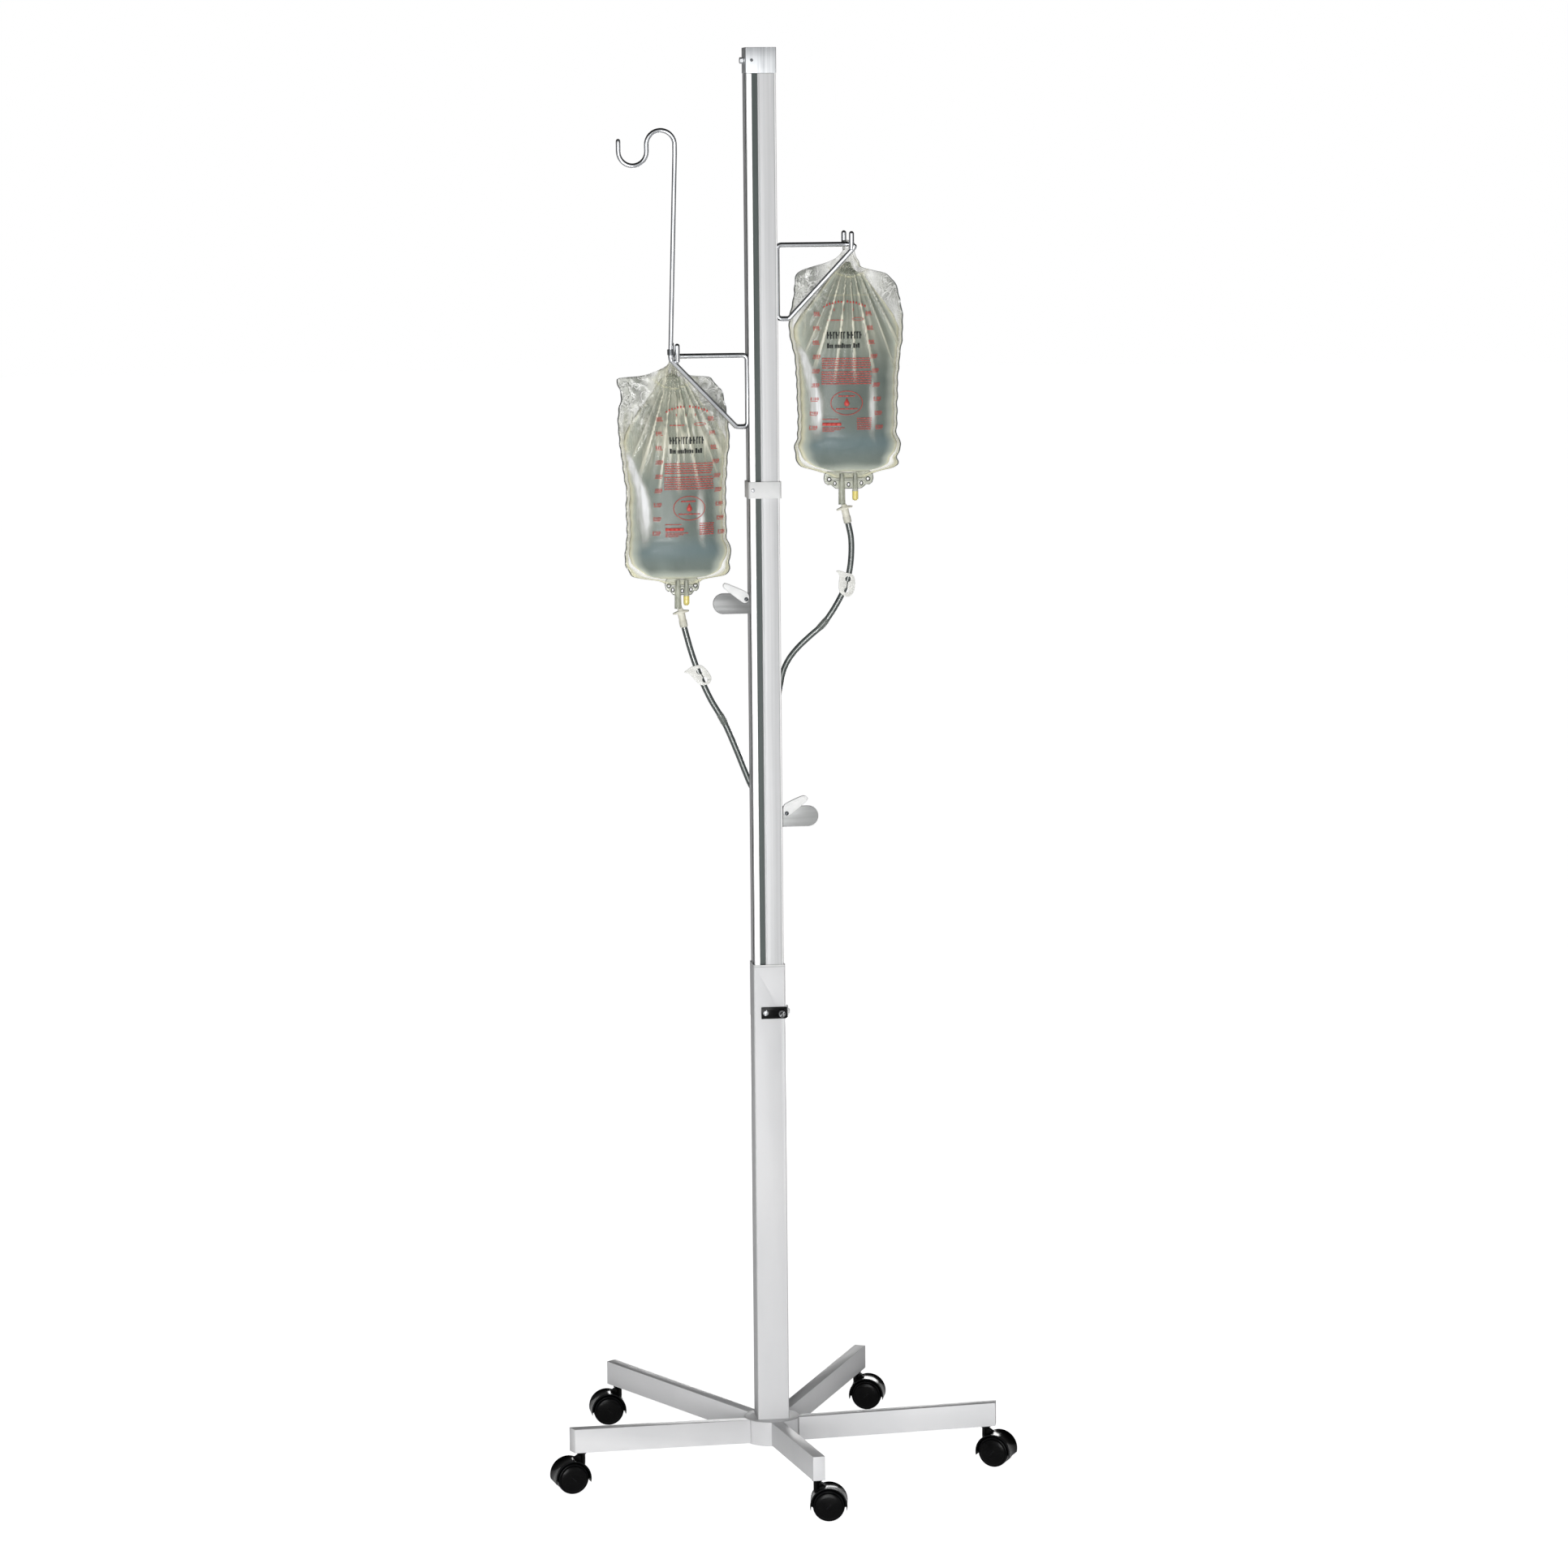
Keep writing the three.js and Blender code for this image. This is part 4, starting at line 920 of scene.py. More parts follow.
# Middle, outline, the two openings that a slit joins, and the small eye.
CLAMPS = {
    "left": (
        (-102.5, 8, 1281),
        [
            (-25.6, 5.1), (-20, 9.5), (-14, 13.6), (-5.1, 16.1), (2.6, 15.4), (10.2, 8.5), (16.6, -1.3),
            (17.4, -8.2), (12.8, -14.4), (2.6, -15.9), (-5.1, -11.5), (-12.8, -2.6), (-18.4, 3.2),
        ],
        ((-1.3, 6.4), 4.7, (7.2, -7.4), 4.3),
        ((10.9, 2.2), 1.0),
    ),
    "right": (
        (132.8, 8, 1421.5),
        [
            (-16.6, 20), (-11.5, 21.2), (-1.3, 17.9), (7.7, 15.4), (12.8, 8.5), (13.2, -3.8), (10.4, -14.1),
            (3.8, -20.5), (-4.2, -19.4), (-11.2, -12.8), (-12.8, -1.3), (-11.5, 10.2), (-12.4, 16),
        ],
        ((2.2, 7.4), 4.4, (-0.4, -10.6), 3.9),
        ((8.4, -3.2), 0.9),
    ),
}


def clamp_plate(side):
    """A slide clamp: a thin plate with a thumb tab and two openings joined by a pinch slit."""
    centre, outline, openings, (eye, radius) = CLAMPS[side]
    piece = slab(
        f"slide_clamp_plate_{side}", round_loop(outline), -6.6, -4.9, CLAMP_WHITE, bevel=0.5,
        holes=[keyhole(*openings), arc(eye, radius, 0, 330, 11)], place=centre,
    )
    dress([piece], f"hanger_{side}", f"slide_clamp_{side}")
    return piece


clamps = {side: clamp_plate(side) for side in SIDES}
sleeves = {side: sleeve(side) for side in SIDES}
connector = end_connector()
for side in SIDES:
    free_tube(
        f"irrigation_tube_{side}", TUBES[side],
        [f"tube_leg_{side}"], blend=between(side),
    )
free_tube(
    "drain_line", DRAIN_LEAD + hank_turns() + DRAIN_TAIL,
    ["drain_tube", "tube_hank"], body="mast",
)


# ------------------------------------------------------------------ column
refine("hub", PAINT, bevel=0.5)
refine("lower_tube", PAINT, bevel=0.35)
refine("tube_end_bush", ENAMEL, bevel=0.3)
refine("mast", EXTRUSION, bevel=0.25, segments=1)
refine("mast_cap", CAP_METAL, bevel=0.7)
refine("collar", COLLAR_WHITE, bevel=0.5)
refine("latch_bracket", BLACK, bevel=0.5)
refine("latch_catch", ENAMEL, bevel=0.4)
for leg in ("front", "right", "back_right", "back_left", "left"):
    refine(f"leg_{leg}", PAINT, bevel=0.8)
for side in SIDES:
    refine(f"cable_guide_{side}", GREY, bevel=0.15)
    refine(f"carriage_{side}", GREY, bevel=0.3)
refine("y_connector", IVORY, bevel=0.6)


RECESS_HALF = 0.45  # half width of a screw's slot


def front_screw(name, node, place, radius, height, material, recess, spin):
    """A domed screw head facing the front, with a cross or a single slot cut in it."""
    dome = [(0, 0), (radius, 0), (radius, height * 0.3)]
    dome += [(radius * math.cos(a), height * (0.3 + 0.7 * math.sin(a))) for a in np.linspace(0.25, 1.45, 6)]
    dome.append((0, height))
    head = lathe(name, dome, place, (0, -1, 0), material, sides=36)
    front, back = -height - 1, -height * 0.4
    bars = []
    for turn in (spin, spin + 90) if recess == "cross" else (spin,):
        reach = radius * (0.62 if recess == "cross" else 1.3)
        outline = [(a * reach, b * RECESS_HALF) for a, b in ((-1, -1), (1, -1), (1, 1), (-1, 1))]
        bars.append(slab("recess", outline, front, back, material, bevel=0.0, place=place, spin=turn))
    head.data = combine(head, bars, "DIFFERENCE", 35)
    dress([head], frame["nodes"][node]["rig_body"], node)
    return head


def node_middle(node):
    """Middle of a node in column millimetres."""
    low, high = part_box(node)
    return from_row((low + high) / 2)


def node_back(node):
    return from_row(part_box(node)[1])[1]


# Radius, height of the head, material, recess and its turn in degrees.
COLUMN_SCREWS = {
    "cap_screw": (2.4, 1.2, DARK_STEEL, "slot", 40),
    "collar_screw": (3.0, 1.5, STEEL, "cross", 35),
    "latch_screw": (4.6, 2.9, STEEL, "slot", 75),
}
for node, look in COLUMN_SCREWS.items():
    x, _, z = node_middle(node)
    front_screw(f"{node}_head", node, (x, node_back(node), z), *look)


KNOB_RIBS = 18
KNOB_GRIP = 7.4  # length of the ribbed part


def latch_knob():
    """A ribbed knob on its plunger."""
    low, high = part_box("latch_knob")
    x, y, z = node_middle("latch_knob")
    back = from_row(high)[1]
    reach = back - from_row(low)[1]
    radius = (high.x - low.x) / MM / 2
    base = reach - KNOB_GRIP
    profile = [
        (0, 0), (2.4, 0), (2.4, base), (radius - 0.5, base), (radius, base + 0.6),
        (radius, reach - 1.6), (radius - 0.5, reach - 0.6), (radius - 1.4, reach - 0.1),
        (radius - 2.2, reach - 0.5), (0, reach - 0.5),
    ]

    def ribs(local, r, h):
        if r < radius - 0.2 or h < base:
            return local
        a = math.atan2(local.y, local.x)
        pull = 1 - 0.05 * (0.5 + 0.5 * math.cos(KNOB_RIBS * a))
        return Vector((local.x * pull, local.y * pull, local.z))

    knob = lathe(
        "latch_knob_grip", profile, (x, back, z), (0, -1, 0), KNOB, sides=6 * KNOB_RIBS, flatten=ribs
    )
    dress([knob], "latch_knob", "latch_knob")


latch_knob()


def guide_bolt():
    """A through bolt with a hexagon head and a chamfered shank end."""
    low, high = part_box("guide_bolt")
    left, y, z = from_row(low)[0], *node_middle("guide_bolt")[1:]
    right = from_row(high)[0]
    reach = right - left - 6
    shank = [(0, 0), (2.4, 0), (2.9, 0.5), (2.9, reach), (0, reach)]
    bolt = lathe("guide_bolt_shank", shank, (right, y, z), (-1, 0, 0), STEEL, sides=24)
    rings = []
    for offset, radius in ((6.2, 4.6), (5.9, 5.0), (0.8, 5.0), (0.0, 4.2)):
        rings.append([(left + offset, y + b, z + c) for b, c in circle(radius, 6, math.radians(30))])
    head = add_object("guide_bolt_head", *loft(rings), STEEL, 25)
    dress((bolt, head), "mast", "guide_bolt")


guide_bolt()


# ------------------------------------------------------------------ casters
WHEEL_RADIUS = 25
AXLE_HEIGHT = 25
CASTER_TRAIL = 18
HOOD_RADIUS = 29
HOOD_HALF = 20
HOOD_START, HOOD_SWEEP = -13, 206  # degrees round the axle
STEM_RADIUS = 4.8


def local_loft(name, rings, material):
    """Like loft, but in metres about the caster's own axle."""
    points, faces = loft(rings)
    mesh = bpy.data.meshes.new(name)
    mesh.from_pydata([Vector(p) * MM for p in points], [], faces)
    return finish_object(name, mesh, material)


def wheel_mesh():
    """Both wheels and the axle between them, turned about Y."""
    half = [
        (3, 2.5), (22.6, 2.5), (23.8, 2.9), (24.7, 3.8), (WHEEL_RADIUS, 5), (WHEEL_RADIUS, 14.6),
        (24.7, 16.2), (24.1, 17.4), (23.3, 18.2), (22.5, 18.5), (22.1, 18.1), (21.6, 18.1),
        (21.2, 18.8), (20.6, 19.5), (19.4, 20.1), (14, 20.9), (7, 21.5), (2, 21.8), (0, 21.8),
    ]
    profile = [(r, -w) for r, w in reversed(half)] + half
    rings = [[(x, w, z) for x, z in circle(max(r, 0.02), 72)] for r, w in profile]
    return local_loft("caster_wheel", rings, TREAD)


def hood_roof():
    """The arched cover over both wheels, with a lip along each rim, thinned at its two ends."""
    lip, step = 3, 0.25
    rim = [
        (1.8, -HOOD_HALF), (0.5, -HOOD_HALF), (0, -HOOD_HALF + 0.5), (0, -HOOD_HALF + lip),
        (step, -HOOD_HALF + lip + 0.6),
    ]
    section = rim + [(sunk, -w) for sunk, w in reversed(rim)] + [(1.8, 0)]
    rings = []
    steps = 60
    for k in range(steps + 1):
        a = math.radians(HOOD_START + HOOD_SWEEP * k / steps)
        near_end = min(k, steps - k) / steps
        taper = 1.0 if near_end > 0.05 else 0.35 + 13 * near_end
        radii = [(HOOD_RADIUS - sunk * taper, w) for sunk, w in section]
        rings.append([(r * math.cos(a), w, r * math.sin(a)) for r, w in radii])
    return local_loft("caster_hood", rings, BLACK)


def hood_mesh():
    """The roof joined to its centre web, the stem boss and the gusset between them."""
    roof = hood_roof()
    outline = arc((0, 0), HOOD_RADIUS - 0.8, -11, 191, 40) + [(-9, -12.5), (9, -12.5)]
    web = local_loft("web", [[(x, w, z) for x, z in outline] for w in (-2, 2)], BLACK)
    stem = (
        (14, 5.2), (22, 5.9), (34.8, 5.9), (35.6, 6.4), (35.9, 7.8), (37, 8.0), (37.3, 7.6),
        (37.3, STEM_RADIUS), (54.5, STEM_RADIUS), (55, 4.2),
    )
    rings = [[(x - CASTER_TRAIL, y, z) for x, y in circle(r, 28)] for z, r in stem]
    boss = local_loft("boss", rings, BLACK)
    corner = ((-18, 17), (-9, 26.4), (-4, 28.2), (-12, 33.6), (-18, 33.6))
    gusset = local_loft("gusset", [[(x, w, z) for x, z in corner] for w in (-5.2, 5.2)], BLACK)
    mesh = combine(roof, (web, boss, gusset), "UNION", 32)
    bpy.data.objects.remove(roof)
    return mesh


# Direction of each leg, and the way its caster trails, in degrees.
LEGS = {
    "front": (274.1, -9), "right": (346.1, -29.4), "back_right": (58.1, -15.4),
    "back_left": (130.1, -178.4), "left": (202.1, -170.4),
}
STEM_ON_LEG = 347
hood_data = hood_mesh()
wheel_template = wheel_mesh()
wheel_data = wheel_template.data
bpy.data.objects.remove(wheel_template)
for leg, (direction, trail) in LEGS.items():
    along, behind = math.radians(direction), math.radians(trail)
    axle = at(
        STEM_ON_LEG * math.cos(along) + CASTER_TRAIL * math.cos(behind),
        STEM_ON_LEG * math.sin(along) + CASTER_TRAIL * math.sin(behind),
        AXLE_HEIGHT,
    )
    for kind, data, body, node, slot in (
        ("caster_cover", hood_data, f"caster_fork_{leg}", f"caster_hood_{leg}", "black_plastic"),
        ("caster_twin_wheel", wheel_data, f"caster_wheels_{leg}", f"caster_wheels_{leg}", "tread"),
    ):
        piece = new_object(f"{kind}_{leg}", data)
        piece.matrix_world = Matrix.Translation(axle) @ Matrix.Rotation(behind, 4, "Z")
        dress([piece], body, node)


# ------------------------------------------------------------------ hangers
ROD = 4.0
SLOT_Y = -10
SLOT_X, STUB_X = 24.4, 42.5
BAR_X, BAR_HALF, PIN_RISE = 138, 41, 21
HANGER_BEND, BAR_BEND = 7, 6
HANGERS = {
    "left": {"arm": 1785.5, "stub": 1673.7, "curl": 148.3, "rise": 8},
    "right": {"arm": 1956.8, "stub": 1841.7, "curl": 142.5, "rise": 1},
}
BOLT_Z = node_middle("guide_bolt")[2]
GUIDE_X = 13


def hanger(side):
    """The bent rod, and the bag bar with its two upturned pins."""
    s, h = SIDES[side], HANGERS[side]
    loop = bent(
        [
            (s * BAR_X, SLOT_Y, h["arm"]), (s * SLOT_X, SLOT_Y, h["arm"]), (s * SLOT_X, SLOT_Y, h["stub"]),
            (s * STUB_X, SLOT_Y, h["stub"]), (s * h["curl"], -BAR_HALF, h["arm"] - 4),
            (s * h["curl"], -BAR_HALF, h["arm"] + h["rise"]),
        ],
        HANGER_BEND,
    )
    rod = tube(f"hanger_rod_{side}", *rounded_ends(loop, ROD, start=False), CHROME, sides=24)
    bar = bent(
        [
            (s * BAR_X, -BAR_HALF, h["arm"]), (s * BAR_X, BAR_HALF, h["arm"]),
            (s * BAR_X, BAR_HALF, h["arm"] + PIN_RISE),
        ],
        BAR_BEND,
    )
    rear = tube(f"bag_bar_{side}", *rounded_ends(bar, ROD, start=False), CHROME, sides=24)
    pin = [(s * BAR_X, -BAR_HALF, h["arm"] - 10), (s * BAR_X, -BAR_HALF, h["arm"] + PIN_RISE)]
    front = tube(f"front_pin_{side}", *rounded_ends(pin, ROD), CHROME, sides=24)
    dress((rod, rear, front), f"hanger_{side}", f"hanger_frame_{side}")


CABLE_RADIUS = 1.2
CABLE_FRONT, CABLE_BACK = -8, 8  # depths of the hanger's run and the handle's run
CABLE_TURN = 4
CABLE_PIN_RISE = 13  # cable pin above the arm


def cables(side):
    """Both runs of the hanger's cable, and the handle's cable with its wrap over the guide."""
    s, h = SIDES[side], HANGERS[side]
    outer, inner = s * GUIDE_X, s * (GUIDE_X - 2 * CABLE_TURN)
    pin = (s * (GUIDE_X - CABLE_TURN), h["arm"] + CABLE_PIN_RISE)
    turn = (180, 360) if s < 0 else (0, -180)
    fold = [(x, CABLE_FRONT, z) for x, z in arc(pin, CABLE_TURN, *turn, 12)]
    rise = np.linspace(pin[1], BOLT_Z, 30)[1:]
    run = [(outer, CABLE_FRONT, z) for z in rise[::-1]] + fold + [(inner, CABLE_FRONT, z) for z in rise]
    hang = tube(f"hanger_line_{side}", run, CABLE_RADIUS, CABLE, sides=10)
    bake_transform(hang)
    bottom = from_row(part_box(f"handle_cable_{side}")[0])[2]
    wrap = [(outer, y, z + 0.3) for y, z in arc((0, BOLT_Z), CABLE_BACK, 0, 180, 16)]
    run = [(outer, CABLE_BACK, z) for z in np.linspace(bottom, BOLT_Z - 4, 40)] + wrap
    pull = tube(f"handle_line_{side}", run, CABLE_RADIUS, CABLE, sides=10)
    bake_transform(pull)
    for piece, node in ((hang, f"hanger_cable_{side}"), (pull, f"handle_cable_{side}")):
        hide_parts(node)


for side in SIDES:
    hanger(side)
    cables(side)


HOOK_ROD = 3.6
HOOK_RADIUS = 22
HOOK_FOOT_X = -148.3
HOOK_NECK = (-138.4, -BAR_HALF, 2100)
HOOK_ARCH, HOOK_BOWL = (-160.4, 2114), (-204.3, 2104)  # centres of the two bends, x and z


def s_hook():
    """The tall rod with its S-shaped top, and the ferrule that clamps it to the front pin."""
    y = -BAR_HALF
    foot = (HOOK_FOOT_X, y, from_row(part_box("s_hook_pole")[0])[2])
    steps = 12
    rise = np.array(HOOK_NECK) - np.array(foot)
    path = [foot] + [tuple(np.array(foot) + rise * k / steps) for k in range(1, steps + 1)]
    path += [(x, y, z) for x, z in arc(HOOK_ARCH, HOOK_RADIUS, 0, 180, 26)]
    path += [(x, y, z) for x, z in arc(HOOK_BOWL, HOOK_RADIUS, 0, -180, 26)]
    path += [(-226.3, y, 2116), (-226.3, y, 2123.5)]
    rod = tube("s_hook_rod", *rounded_ends(path, HOOK_ROD, start=False, steps=3), CHROME, sides=24)
    dress([rod], "hanger_left", "s_hook_pole")
    ferrule = lathe(
        "s_hook_ferrule", [(0, -5), (4.9, -5), (5.4, -4.4), (5.4, 3.4), (4.9, 4), (0, 4)],
        (HOOK_FOOT_X, y, foot[2]), (0, 0, 1), DARK_STEEL, sides=24,
    )
    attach(ferrule, "hanger_left")


s_hook()


# ------------------------------------------------------------------ handles and levers
TAPERED_LEVER = [
    (4.8, 4), (3, 9), (-1, 12.8), (-33, 27), (-36.5, 24.5), (-37, 20.5), (-34, 16.5), (-6, -5.5),
    (-1, -6.3), (3.6, -3.5),
]
BROAD_LEVER = [
    (-5.4, -2.5), (-2, -4.6), (6, -3.5), (34, 20), (34.5, 23.5), (31, 27), (25.5, 28.3), (-2, 16),
    (-5.8, 11),
]
FLANGE_RIM = [
    (-5.8, 11), (-2, 16), (25.5, 28.3), (31, 27), (34.3, 23.6), (31.6, 22), (27.5, 24.2), (-1.6, 11.2),
]
LEVER_BACK, LEVER_FRONT = -12.3, -18.5
PLATE_END_X, PLATE_HALF, PLATE_THICK = 66.1, 16.5, 4
SLIDER_HALF = 24
# The lever's face is set back where a flange stands in front of it.
GRIPS = {
    "left": {
        "height": 1395, "pivot": (-30.4, 1402), "lever": TAPERED_LEVER, "face": LEVER_FRONT,
        "bevel": 1.3, "spin": 20,
    },
    "right": {
        "height": 1053.2, "pivot": (31.1, 1058.9), "lever": BROAD_LEVER, "face": LEVER_FRONT + 2,
        "bevel": 0.9, "spin": 60,
    },
}


def eased(points, share=0.22):
    """A closed outline with its corners cut twice, so that they read as rounded."""
    pts = [np.array(p, float) for p in points]
    for _ in range(2):
        made = []
        for a, b in zip(pts, pts[1:] + pts[:1]):
            made += [a + (b - a) * share, b - (b - a) * share]
        pts = made
    return [tuple(p) for p in pts]


def grip(side):
    """The plate one holds, its slider in the channel, the squeeze lever and its pivot screw."""
    s, g = SIDES[side], GRIPS[side]
    end = arc((PLATE_END_X, 0), PLATE_HALF, -90, 90, 28)
    outline = [(s * x, z) for x, z in [(18, -PLATE_HALF), *end, (18, PLATE_HALF)]]
    plate = slab(
        f"handle_plate_{side}", outline, SLOT_Y - PLATE_THICK / 2, SLOT_Y + PLATE_THICK / 2,
        PLATES[side], bevel=0.9, place=(0, 0, g["height"]),
    )
    low = (min(s * 4, s * 20), SLOT_Y - 7, g["height"] - SLIDER_HALF)
    high = (max(s * 4, s * 20), SLOT_Y + 22, g["height"] + SLIDER_HALF)
    slider = box_piece(f"handle_slider_{side}", low, high, 0.8, GREY)
    dress((plate, slider), f"handle_{side}", f"handle_{side}")
    x, z = g["pivot"]
    lever = slab(
        f"brake_lever_{side}", eased(g["lever"]), g["face"], LEVER_BACK, ENAMEL, bevel=g["bevel"],
        holes=[arc((0, 0), 2.4, 0, 345, 20)], place=(x, 0, z),
    )
    parts = [lever]
    if side == "right":
        parts.append(slab(
            "brake_lever_flange_right", eased(FLANGE_RIM, 0.15), LEVER_FRONT, LEVER_FRONT + 2.6,
            ENAMEL, bevel=0.6, place=(x, 0, z),
        ))
    dress(parts, f"lever_{side}", f"lever_{side}")
    screw = front_screw(
        f"lever_pivot_screw_{side}", f"lever_pivot_{side}", (x, g["face"], z), 3.3, 1.9, DARK_STEEL,
        "slot", g["spin"],
    )


for side in SIDES:
    grip(side)


# ------------------------------------------------------------------ bags
BAG_Y = 8
# Height, left edge, right edge and half thickness, from the bottom seam up to the gathered neck.
RIGHT_BAG = [
    (1588, 114, 164, 1.6), (1594, 104, 174, 3), (1599, 92, 188, 5), (1603, 80, 205, 9),
    (1608, 62, 215, 13), (1614, 56, 219, 17), (1622, 55, 217, 21), (1632, 51.5, 220, 25),
    (1642, 51.5, 222.5, 28), (1650, 54.5, 219, 30), (1659, 57, 216, 32), (1700, 57, 217, 34),
    (1740, 55.5, 218, 34), (1774, 54, 221, 31.5), (1804, 48, 225, 28), (1825, 44.5, 226.5, 25),
    (1842, 45, 226.5, 22.5), (1863, 50, 223.5, 18), (1880, 52.5, 220, 14), (1896, 54, 214, 11.5),
    (1903, 55, 208, 10), (1911, 58, 198, 9), (1916, 64, 178, 8.3), (1921, 78, 161, 7.8),
    (1929, 107, 157, 7), (1938, 124, 152, 6.5), (1951, 134, 149, 6),
]
LEFT_BAG = [
    (1424, -152, -106, 1.6), (1431, -168, -98, 3), (1434, -186, -88, 5), (1438, -204, -64, 9),
    (1444, -212, -56, 13), (1452, -216, -51, 18), (1461, -219, -53.5, 22), (1468, -220.5, -52.5, 25),
    (1477, -219.5, -50, 27.5), (1490, -218, -54, 30), (1502, -216, -57, 32), (1543, -217, -58, 34),
    (1575, -216.5, -57.5, 34), (1617, -222, -55, 31), (1654, -226, -51, 27), (1679, -228, -53, 22),
    (1704, -226, -56, 16), (1721, -222.5, -60, 12.5), (1732, -224, -64, 11), (1745, -228, -76, 9),
    (1752, -225, -83, 8), (1755, -190, -112, 7.5), (1762, -166, -122, 7), (1771, -149, -130, 6.5),
    (1780, -145, -132, 6),
]
BAGS = {
    "left": {"sections": LEFT_BAG, "neck": (-139, 1783), "shift": (-251, -161), "milk": 1.0},
    "right": {"sections": RIGHT_BAG, "neck": (141, 1954), "shift": (0, 0), "milk": 0.5},
}
FLANGE = 0.955  # share of the half width inside the side welds
PLEAT_DEPTH = 128  # how far the gathered and slack part reaches below the neck
MILK_DEPTH = 205  # how far the milky part reaches


class Bag:
    """The front and back of one bag as heights over its mid-plane."""

    def __init__(self, side):
        self.side = side
        self.neck = BAGS[side]["neck"]
        table = np.array(BAGS[side]["sections"], float)
        fine = []
        for i in range(len(table) - 1):
            p0 = table[max(i - 1, 0)]
            p1, p2 = table[i], table[i + 1]
            p3 = table[min(i + 2, len(table) - 1)]
            steps = max(3, int((p2[0] - p1[0]) / 2.6))
            for t in np.linspace(0, 1, steps, endpoint=False):
                fine.append(spline(p0, p1, p2, p3, t))
        fine.append(table[-1])
        rows = np.array(fine)
        rows[:, 0] = np.maximum.accumulate(rows[:, 0] + np.arange(len(rows)) * 1e-6)
        self.z, self.left, self.right, self.thick = rows.T
        low = self.z - self.z[0]
        tall = self.z[-1] - self.z
        pucker = 0.9 + 3.2 * np.exp(-low / 26)
        fade = np.clip(low / 10, 0, 1) * np.clip(tall / 40, 0, 1)
        self.left = self.left + fade * pucker * 0.6 * (np.sin(low * 0.33) + 0.6 * np.sin(low * 0.13 + 1))
        self.right = self.right + fade * pucker * 0.6 * (np.sin(low * 0.29 + 2) + 0.6 * np.sin(low * 0.15))

    def row(self, z):
        return (np.interp(z, self.z, self.left), np.interp(z, self.z, self.right),
                np.interp(z, self.z, self.thick))

    def pleat(self, x, z):
        """Folds that fan out from the gathered neck: height, and how strong they are here."""
        dx, dz = x - self.neck[0], np.maximum(self.neck[1] - z, 1.0)
        angle = np.arctan2(dx, dz)
        reach = np.hypot(dx, dz)
        inside = np.clip((0.62 - np.abs(angle)) / 0.2, 0, 1)
        fan = np.clip(reach / 25, 0, 1) * np.clip((215 - reach) / 120, 0, 1)
        wave = 0.6 * np.sin(72 * angle + 1.8 * np.sin(7 * angle)) + 0.4 * np.sin(41 * angle + 1.1)
        return wave, inside * fan

    def looseness(self, x, z):
        """How slack the film hangs: 1 in the empty upper corners."""
        high = np.clip((z - (self.z[-1] - PLEAT_DEPTH)) / 60, 0, 1)
        return high * np.clip((np.abs(x - self.neck[0]) - 24) / 34, 0, 1)

    def sag(self, x, z, sign):
        """Broad unevenness of the film, a little different on the front and the back."""
        return 1.1 * np.sin(x * 0.045 + sign) * np.sin(z * 0.031 + 2 * sign)

    def surface(self, x, z, sign, inset=0.0):
        """Y of the front (sign -1) or the back (sign 1)."""
        left, right, thick = self.row(z)
        middle, half = (left + right) / 2, (right - left) / 2
        u = np.clip(np.abs(x - middle) / half / FLANGE, 0, 1)
        dome = (1 - u**2.2) ** 0.62
        wave, strength = self.pleat(x, z)
        folds = wave * strength * 1.9 * np.clip(dome * 2, 0, 1)
        crimp = 0.7 * np.sin(z * 0.37 + 3 * np.sin(z * 0.05)) * np.clip((u - 0.86) / 0.14, 0, 1)
        loose = self.looseness(x, z)
        folds = folds + loose * 1.7 * (np.sin(x * 0.21 + 2.2 * np.sin(z * 0.09)) * np.sin(z * 0.17 + sign))
        out = 0.55 + (thick - 0.55) * dome + folds + self.sag(x, z, sign) * dome * np.clip(thick / 20, 0, 1)
        out = np.maximum(out - inset, 0.35)
        return BAG_Y + sign * out + crimp * np.clip(thick / 12, 0, 1)


def bag_grid(bag, columns, rows, across, inset=0.0):
    """Front and back sheets joined round their rims. across() gives the two edges at a height."""
    points, us, zs = [], [], []
    for sign in (-1, 1):
        for z in rows:
            left, right = across(z)
            for t in columns:
                x = (left + right) / 2 + (right - left) / 2 * t
                points.append((x, float(bag.surface(x, z, sign, inset)), z))
                us.append(t)
                zs.append(z)
    wide, tall = len(columns), len(rows)
    sheet = wide * tall
    faces = []
    for r in range(tall - 1):
        for k in range(wide - 1):
            a = r * wide + k
            faces.append((a, a + 1, a + 1 + wide, a + wide))
            b = a + sheet
            faces.append((b, b + wide, b + 1 + wide, b + 1))
    rim = list(range(wide)) + [r * wide + wide - 1 for r in range(1, tall)]
    rim += [(tall - 1) * wide + k for k in range(wide - 2, -1, -1)]
    rim += [r * wide for r in range(tall - 2, 0, -1)]
    for a, b in zip(rim, rim[1:] + rim[:1]):
        faces.append((a, a + sheet, b + sheet, b))
    return points, faces, np.array(us), np.array(zs)


